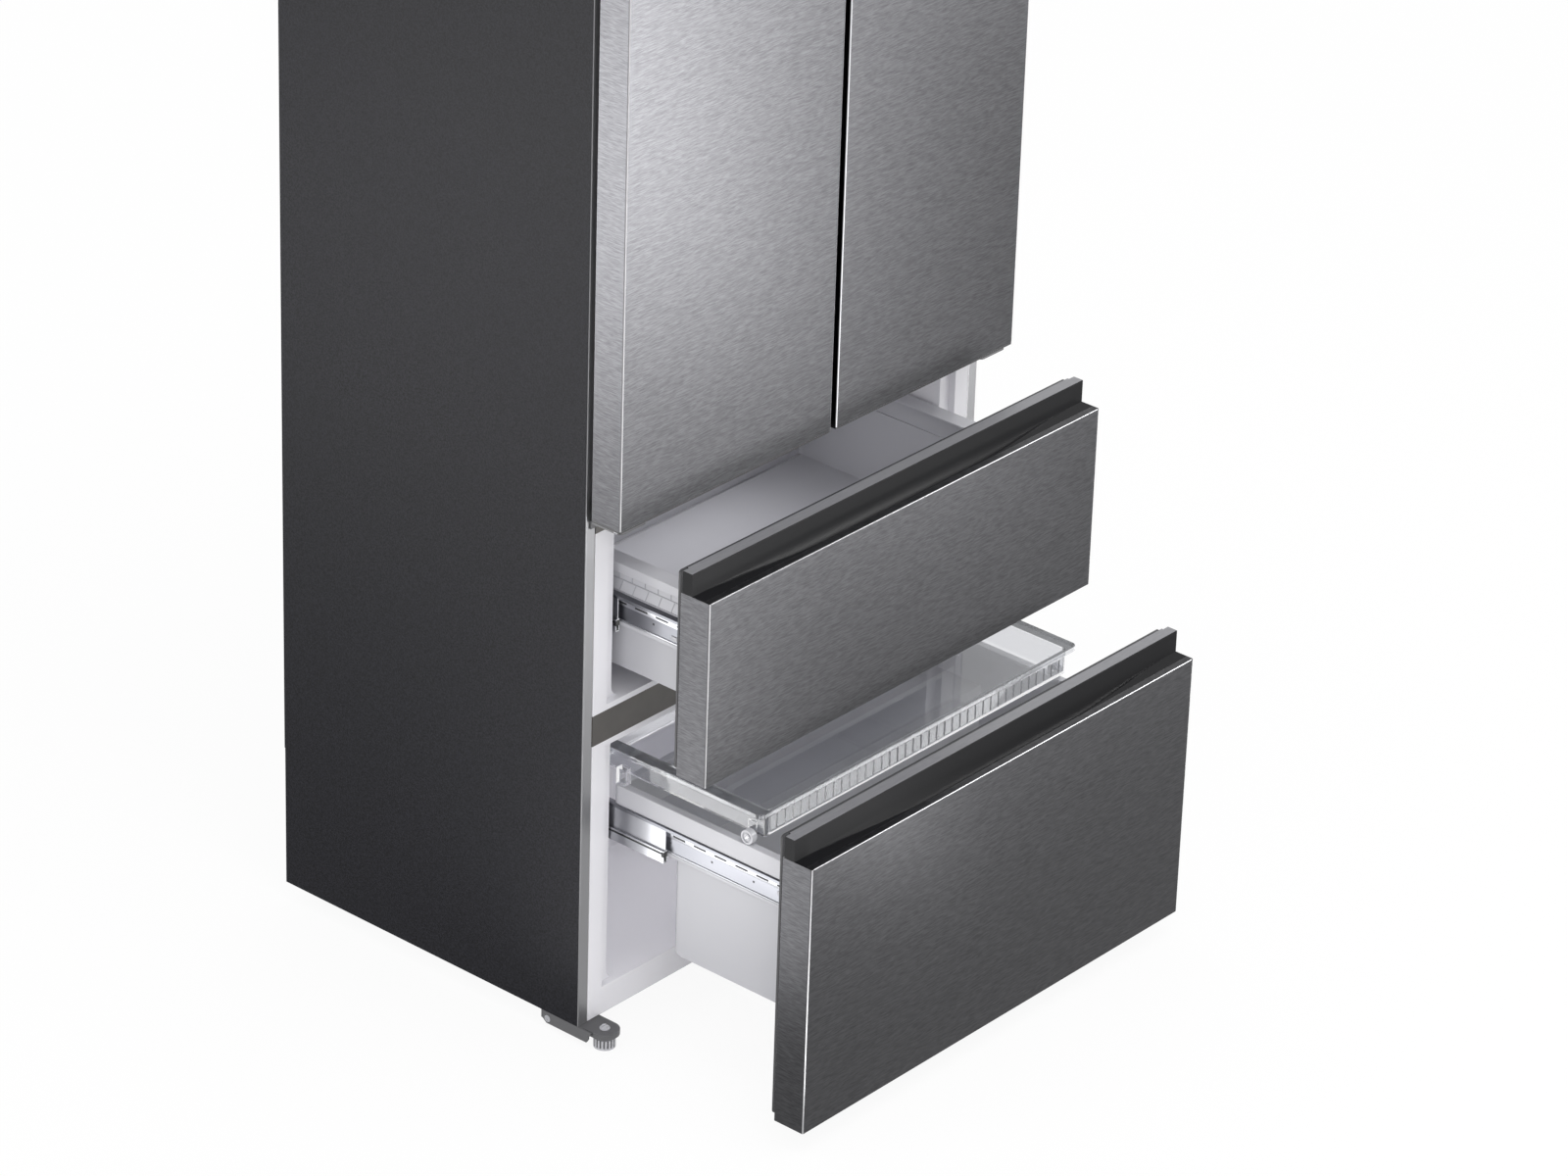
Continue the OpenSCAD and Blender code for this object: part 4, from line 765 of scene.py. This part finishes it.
# %% Handle mouldings
# The moulding's hidden underside stays clear of the folded steel in front of and beside it.
STEEL_MM = 1.1
UNDER_FRONT_MM = 1.3
UNDER_BACK_MM = 55.7
UNDER_DROP_MM = DEEP_MM + 8
TAPER_STEPS = 44


def loft(bm, rows):
    """Joins rows of points into a closed skin, with a face over each end."""
    rings = [[bm.verts.new(p) for p in row] for row in rows]
    for one, two in zip(rings, rings[1:]):
        for i in range(len(one)):
            j = (i + 1) % len(one)
            bm.faces.new((one[i], one[j], two[j], two[i]))
    bm.faces.new(rings[0][::-1])
    bm.faces.new(rings[-1])


def clean(bm):
    """Merges doubles and turns all faces outwards."""
    bmesh.ops.remove_doubles(bm, verts=bm.verts, dist=2e-6)
    bmesh.ops.dissolve_degenerate(bm, dist=1e-6, edges=bm.edges)
    bmesh.ops.recalc_face_normals(bm, faces=bm.faces)


def places_along(half_width):
    """Where the handle's sections lie, from one end of the drawer to the other."""
    us = [STEEL_MM, NOTCH_MM / 2, NOTCH_MM - 0.1, NOTCH_MM + 0.1, 18, 24]
    us += [END_MM + TAPER_MM * i / TAPER_STEPS for i in range(TAPER_STEPS + 1)]
    us += [END_MM + TAPER_MM + 60, half_width / MM]
    places = [-half_width + u * MM for u in us]
    return places + [-x for x in reversed(places[:-1])]


def handle_moulding(drawer):
    """The lofted handle of one drawer, with its wall carried out over the steel's ends."""
    steel_low, steel_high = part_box(drawer + "_front_skin")
    front, top = steel_low.y, steel_high.z
    half_width = steel_high.x
    underside = [(BACK_MM - STEEL_MM, -0.1), (UNDER_BACK_MM, -UNDER_DROP_MM),
                 (UNDER_FRONT_MM, -UNDER_DROP_MM), (UNDER_FRONT_MM, -NOSE_DROP_MM)]
    bm = bmesh.new()
    rows = []
    for x in places_along(half_width):
        section = handle_section((half_width - abs(x)) / MM) + underside
        rows.append([(x, front + y * MM, top + z * MM) for y, z in section])
    loft(bm, rows)
    end_wall = [(WALL_MM, 0.0)] + wall_section(NOTCH_DEEP_MM)
    for sign in (-1, 1):
        ends = [sign * half_width, sign * (half_width - STEEL_MM * MM)]
        loft(bm, [[(x, front + y * MM, top + z * MM) for y, z in end_wall] for x in ends])
    clean(bm)
    mesh = bpy.data.meshes.new(drawer + "_handle_moulding")
    bm.to_mesh(mesh)
    bm.free()
    smooth_by_angle(mesh, 40)
    obj = finished(drawer + "_handle_moulding", mesh, "charcoal_abs", drawer + "_drawer",
                   drawer + "_handle", slot="handle")
    # Painted light: the level top faces take a lighter grey, standing in for the sky's light on
    # them.
    mesh.materials.append(materials["handle_top_painted_light"])
    for face in mesh.polygons:
        if face.center.z > top + (RISE_MM - 0.5) * MM and face.normal.z > 0.95:
            face.material_index = 1
    return obj


for drawer in ("upper", "lower"):
    made = handle_moulding(drawer)
    print(made.name, len(made.data.polygons), "faces")

# %% [markdown]
# ## Gaskets
# A door gasket is an extruded PVC strip: a base that pushes into the inner panel, a soft
# bellows, and a square chamber with the magnet. It's welded into a frame at its corners, so the
# section runs round a rectangle, moved inwards by each point's own distance.

# %% Gasket frames
GASKET_SECTION_MM = [(3, 0), (13, 0), (13, 1.6), (10.2, 2.6), (12.6, 3.8), (10.6, 5.2),
                     (14.6, 6.2), (16, 6.8), (16, 10.2), (15.6, 10.55), (8.4, 10.55),
                     (8.0, 10.2), (7.6, 10.55), (0.4, 10.55), (0, 10.2), (0, 6.8),
                     (1.4, 6.2), (5.4, 5.2), (3.4, 3.8), (5.8, 2.6), (3, 1.6)]
GASKETS = ("left_door_gasket", "right_door_gasket", "upper_gasket", "lower_gasket")
CORNER_MM = 5.0
LEAST_CORNER_MM = 0.6


def corner_loop(x0, x1, z0, z1, y, r):
    """Points round a rectangle with rounded corners."""
    loop = []
    for cx, cz, start in ((x1 - r, z1 - r, 0), (x0 + r, z1 - r, 90),
                          (x0 + r, z0 + r, 180), (x1 - r, z0 + r, 270)):
        loop += [(cx + r * math.cos(math.radians(start + a)), y,
                  cz + r * math.sin(math.radians(start + a))) for a in range(0, 91, 18)]
    return loop


def gasket_frame(node):
    """A frame of the gasket's section in the place of the CAD gasket."""
    low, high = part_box(node)
    bm = bmesh.new()
    rings = []
    for inward, depth in GASKET_SECTION_MM:
        inset = inward * MM
        r = max(CORNER_MM - inward, LEAST_CORNER_MM) * MM
        loop = corner_loop(low.x + inset, high.x - inset, low.z + inset, high.z - inset,
                           low.y + depth * MM, r)
        rings.append([bm.verts.new(p) for p in loop])
    for k, one in enumerate(rings):
        two = rings[(k + 1) % len(rings)]
        for i in range(len(one)):
            j = (i + 1) % len(one)
            bm.faces.new((one[i], one[j], two[j], two[i]))
    clean(bm)
    mesh = bpy.data.meshes.new(node + "_strip")
    bm.to_mesh(mesh)
    bm.free()
    smooth_by_angle(mesh, 30)
    return finished(node + "_strip", mesh, "gasket_pvc", find_body(node), node, slot="gasket")


for node in GASKETS:
    gasket_frame(node)
print("gaskets:", len(GASKETS))

# %% [markdown]
# ## Things in rows
# Ribs on a bin's rim, the balls in a telescopic rail and small washers are one shape set down
# again and again. Geometry Nodes make each row: a line of points, one small shape on every
# point, and then real geometry with its material. The inputs carry the sizes in metres.

# %% A tree for rows
INPUTS_OF_ROW = (("Count", "NodeSocketInt"), ("First", "NodeSocketVector"),
                 ("Step", "NodeSocketVector"), ("Size", "NodeSocketVector"),
                 ("Turn", "NodeSocketVector"), ("Finish", "NodeSocketMaterial"))


def row_tree(name, kind):
    """A node tree that puts a box, a pin or a ball on each point of a line."""
    tree = bpy.data.node_groups.new(name, "GeometryNodeTree")
    sockets = {}
    tree.interface.new_socket("Geometry", in_out="OUTPUT", socket_type="NodeSocketGeometry")
    for label, socket_type in INPUTS_OF_ROW:
        item = tree.interface.new_socket(label, in_out="INPUT", socket_type=socket_type)
        sockets[label] = item.identifier
    inputs = add(tree, "NodeGroupInput").outputs
    line = add(tree, "GeometryNodeMeshLine", {"Count": inputs["Count"],
                                              "Start Location": inputs["First"],
                                              "Offset": inputs["Step"]})
    parts = add(tree, "ShaderNodeSeparateXYZ", {0: inputs["Size"]}).outputs
    radius = add(tree, "ShaderNodeMath", {0: parts["X"], 1: 0.5}, operation="MULTIPLY")
    if kind == "box":
        shape = add(tree, "GeometryNodeMeshCube", {"Size": inputs["Size"]})
    elif kind == "pin":
        shape = add(tree, "GeometryNodeMeshCylinder", {
            "Vertices": 16, "Radius": radius.outputs[0], "Depth": parts["Z"]})
    else:
        shape = add(tree, "GeometryNodeMeshUVSphere", {
            "Segments": 12, "Rings": 8, "Radius": radius.outputs[0]})
    spin = add(tree, "FunctionNodeEulerToRotation", {"Euler": inputs["Turn"]})
    placed = add(tree, "GeometryNodeInstanceOnPoints", {
        "Points": line.outputs[0], "Instance": shape.outputs[0], "Rotation": spin.outputs[0]})
    solid = add(tree, "GeometryNodeRealizeInstances", {"Geometry": placed.outputs[0]})
    coloured = add(tree, "GeometryNodeSetMaterial", {"Geometry": solid.outputs[0],
                                                     "Material": inputs["Finish"]})
    add(tree, "NodeGroupOutput", {"Geometry": coloured.outputs[0]})
    return tree, sockets


ROW_TREES = {kind: row_tree("row_of_" + kind, kind) for kind in ("box", "pin", "ball")}
print("row trees:", ", ".join(ROW_TREES))


# %% Rows as pieces
def row_mesh(kind, count, first, step, size, material, turn=(0, 0, 0)):
    """The evaluated mesh of one row; places and sizes are in metres."""
    tree, sockets = ROW_TREES[kind]
    holder = bpy.data.objects.new("row", bpy.data.meshes.new("row"))
    bpy.context.scene.collection.objects.link(holder)
    modifier = holder.modifiers.new("row", "NODES")
    modifier.node_group = tree
    for label, value in (("Count", count), ("First", first), ("Step", step), ("Size", size),
                         ("Turn", turn), ("Finish", materials[material])):
        modifier[sockets[label]] = value
    bpy.context.view_layer.update()
    seen_now = holder.evaluated_get(bpy.context.evaluated_depsgraph_get())
    mesh = bpy.data.meshes.new_from_object(seen_now)
    bpy.data.objects.remove(holder)
    return mesh


def rows(name, body, material, slot, kind, specs):
    """Several rows of one finish, joined into one piece on one body."""
    bm = bmesh.new()
    for spec in specs:
        mesh = row_mesh(kind, *spec[:4], material, *spec[4:])
        bm.from_mesh(mesh)
        bpy.data.meshes.remove(mesh)
    mesh = bpy.data.meshes.new(name)
    bm.to_mesh(mesh)
    bm.free()
    smooth_by_angle(mesh, 40)
    return finished(name, mesh, material, body, slot=slot)


def mm(x, y, z):
    """A place or a size in millimetres, as the metres that the rows take."""
    return (x * MM, y * MM, z * MM)


# %% [markdown]
# ## Ribs of the upper bin
# Thin ribs stiffen the band below the bin's rim: a middle and a lower line along it, short
# uprights above the middle line, and slanted ones below it. On the real bin they are moulded
# with the wall. Each kind is a row of thin boxes that stand in the wall's surface.

# %% Ribs of the upper bin's edge
RIBS = 18
RIB_STEP_MM = 26
RIB_SLANT = 0.36
# Depths below the rim's lower edge, in millimetres
LOWER_LINE_DOWN = 31.05
LINES_APART = 20.8
UPRIGHT_DOWN = 4.95
SLANTED_DOWN = 20.75
bin_low, bin_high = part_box("upper_bin")
band_x = bin_high.x / MM + 0.2
bin_front = bin_low.y / MM
bin_middle = (bin_low.y + bin_high.y) / 2 / MM
rim_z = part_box("upper_bin_rim")[0].z / MM
every_rib = mm(0, RIB_STEP_MM, 0)
specs = []
for x in (-band_x, band_x):
    specs += [
        (2, mm(x, bin_middle, rim_z - LOWER_LINE_DOWN), mm(0, 0, LINES_APART),
         mm(1.6, 452, 1.3)),
        (RIBS, mm(x, bin_front + 14, rim_z - UPRIGHT_DOWN), every_rib, mm(1.6, 1.2, 10.5)),
        (RIBS, mm(x, bin_front + 10, rim_z - SLANTED_DOWN), every_rib, mm(1.4, 1.2, 21.5),
         (RIB_SLANT, 0, 0)),
    ]
# The ribs take the darker grey: painted shade.
rows("upper_bin_ribs", "upper_drawer", "shaded_polypropylene", "frosted_plastic", "box", specs)
print("ribs on each side of the upper bin:", 2 * RIBS + 2)

# %% [markdown]
# ## Fittings of the rails
# A telescopic rail has three members that run on balls in each other. The member on the drawer
# is a bright strip with slots and holes stamped into it. White clips lock it to the bin, and a
# ledge of the bin runs just below it. Black guards and bumpers sit at the front end of the
# middle member. All this is thinner than what the CAD model holds. It is made here of small
# boxes with rounded edges, joined into one piece for each kind.

# %% Small rounded boxes
def blocks(name, body, material, slot, specs, round_mm=0.25):
    """Small boxes (centre, size and turn, in mm and degrees) with rounded edges, as one piece."""
    bm = bmesh.new()
    for centre, size, *turn in specs:
        place = Matrix.Translation(Vector(centre) * MM)
        for axis, angle in turn:
            place = place @ Matrix.Rotation(math.radians(angle), 4, axis)
        place = place @ Matrix.Diagonal((*[v * MM for v in size], 1))
        made = bmesh.ops.create_cube(bm, size=1, matrix=place)
        edges = {e for v in made["verts"] for e in v.link_edges}
        r = min(round_mm, 0.3 * min(size)) * MM
        bmesh.ops.bevel(bm, geom=list(edges), offset=r, segments=2, profile=0.5, affect="EDGES")
    mesh = bpy.data.meshes.new(name)
    bm.to_mesh(mesh)
    bm.free()
    smooth_by_angle(mesh, 40)
    return finished(name, mesh, material, body, slot=slot)


# %% Strips, slots, clips and balls of the rails
# Distances from the appliance's middle plane, in millimetres
STRIP_X = 366.25
FLANGE_X = 366.9
SLOT_X = 366.95
HOLE_X = 365.6
LEDGE_X = 366.1
GUARD_X = 377.05
BUMPER_X = 373.3
BALL_X = 370.5
# Heights above the lower edge of the member on the drawer, in millimetres
STRIP_UP = 31.5
HOLE_UP = 17
BALL_UP = 41.7
# How many slots, holes and balls there are, how far apart, and how far the first one lies
# behind the front end of its member
SLOTS, SLOT_STEP, SLOTS_FROM = 10, 42, 30
HOLES, HOLE_STEP, HOLES_FROM = 5, 84, 48
BALLS, BALL_STEP, BALLS_FROM = 17, 8, 8
# Each clip's distance from the member's front end, and its height
CLIPS = {"upper": [(89, 9)], "lower": [(369, 19), (77, 19)]}

for drawer, clips in CLIPS.items():
    low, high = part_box(drawer + "_drawer_rails")
    bin_low, bin_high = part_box(drawer + "_bin")
    y0, y1, z0 = low.y / MM, high.y / MM, low.z / MM
    middle = (y0 + y1) / 2
    length = y1 - y0 - 2
    bin_middle = (bin_low.y + bin_high.y) / 2 / MM
    bin_length = (bin_high.y - bin_low.y) / MM
    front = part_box(drawer + "_mid_rails")[0].y / MM
    strips = []
    slots = []
    tabs = []
    ledges = []
    black = []
    for side in (-1, 1):
        strips += [((side * STRIP_X, middle, z0 + STRIP_UP), (1.5, length, 10.5)),
                   ((side * FLANGE_X, middle, z0 + 1.1), (3.0, length, 2.0))]
        # Painted shade: the stamped slots and holes are black boxes, for the dark inside them.
        slots += [((side * SLOT_X, y0 + SLOTS_FROM + SLOT_STEP * i, z0 + STRIP_UP), (0.4, 25, 3.2))
                  for i in range(SLOTS)]
        slots += [((side * HOLE_X, y0 + HOLES_FROM + HOLE_STEP * i, z0 + HOLE_UP), (0.5, 3.4, 3.4))
                  for i in range(HOLES)]
        tabs += [((side * FLANGE_X, y0 + y, z0 + z), (2.4, 12, 7)) for y, z in clips]
        ledges += [((side * LEDGE_X, bin_middle, z0 - 3.9), (4.4, bin_length - 24, 6.6))]
        black += [((side * GUARD_X, front + 78, z0 - 0.8), (0.5, 148, 3.2)),
                  ((side * BUMPER_X, front + 2.2, z0 - 2.2), (8.0, 5.6, 9.0)),
                  ((side * BUMPER_X, front + 2.4, z0 - 13), (6.0, 4.6, 3.0))]
    on_drawer = drawer + "_drawer"
    on_middle = drawer + "_middle"
    blocks(drawer + "_rail_strips", on_drawer, "zinc_plated_steel", "zinc", strips, 0.5)
    blocks(drawer + "_rail_slot_shade", on_drawer, "black_polypropylene", "black_plastic", slots)
    blocks(drawer + "_rail_clips", on_drawer, "moulded_white_rim", "white_plastic", tabs, 0.6)
    blocks(drawer + "_bin_ledges", on_drawer, "moulded_white_rim", "white_plastic", ledges, 0.8)
    blocks(drawer + "_rail_bumpers", on_middle, "black_polypropylene", "black_plastic", black, 0.6)
    balls = [(BALLS, mm(x, front + BALLS_FROM, z0 + BALL_UP), mm(0, BALL_STEP, 0), mm(3.3, 0, 0))
             for x in (-BALL_X, BALL_X)]
    rows(drawer + "_rail_balls", on_middle, "zinc_plated_steel", "zinc", "ball", balls)
    print(drawer, "rails:", len(slots), "slots and holes,", 2 * BALLS, "balls")

# %% [markdown]
# ## Closing cams
# Under the outer corner of each door a small white cam shows below the end cap. It pulls the
# door shut over its last few degrees. Only its lower end is in sight, so a rounded block on the
# door does for it.

# %% Closing cams under the outer corners of the doors
CAM_IN_MM = 8.2
CAM_BEHIND_MM = 10.2
CAM_SIZE_MM = (16, 7, 4.8)
for side, door in ((-1, "left_door"), (1, "right_door")):
    low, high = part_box(door + "_caps")
    outer = max(-low.x, high.x) / MM
    centre = (side * (outer - CAM_IN_MM), low.y / MM + CAM_BEHIND_MM, low.z / MM + 0.2)
    blocks(door + "_cam", find_body(door + "_skin"), "moulded_white_rim", "white_plastic",
           [(centre, CAM_SIZE_MM)], 1.0)
print("cams under the doors: 2")

# %% [markdown]
# ## Feet
# A front foot is a moulded disc on a thread, turned by hand to level the appliance, so its edge
# is fluted for the fingers. White washers sit on its thread and on the screw at the bracket's
# side.

# %% Flutes of the feet and washers of their brackets
FLUTES = 18
FLUTE_RADIUS_MM = 16.75
FLUTE_SIZE_MM = (0.5, 2.9, 13.2)
FLUTE_MIDDLE_MM = 10.0
THREAD_WASHER_MM = (16.5, 0, 1.4)
THREAD_WASHER_UP_MM = 31.7
SIDE_WASHER_MM = (11.8, 0, 1.6)
SIDE_WASHER_AT_MM = (454.8, -24.5, 19)
still = (0, 0, 0)
sideways = (0, math.pi / 2, 0)
thread_washers = []
side_washers = []
for side, foot in ((-1, "left"), (1, "right")):
    low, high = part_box(foot + "_front_foot")
    foot_x = (low.x + high.x) / 2 / MM
    foot_y = (low.y + high.y) / 2 / MM
    flutes = []
    for i in range(FLUTES):
        degrees = 360 / FLUTES * i
        angle = math.radians(degrees)
        flutes.append(((foot_x + FLUTE_RADIUS_MM * math.cos(angle),
                        foot_y + FLUTE_RADIUS_MM * math.sin(angle),
                        FLUTE_MIDDLE_MM), FLUTE_SIZE_MM, ("Z", degrees)))
    blocks(foot + "_foot_flutes", foot + "_foot", "grey_powder_coat", "black_plastic", flutes, 0.1)
    thread_washers.append((1, mm(foot_x, foot_y, THREAD_WASHER_UP_MM), still,
                           mm(*THREAD_WASHER_MM)))
    x, y, z = SIDE_WASHER_AT_MM
    side_washers.append((1, mm(side * x, y, z), still, mm(*SIDE_WASHER_MM), sideways))
rows("foot_bracket_washers", "cabinet", "moulded_white_rim", "white_plastic", "pin",
     thread_washers + side_washers)
print("flutes on each foot:", FLUTES)
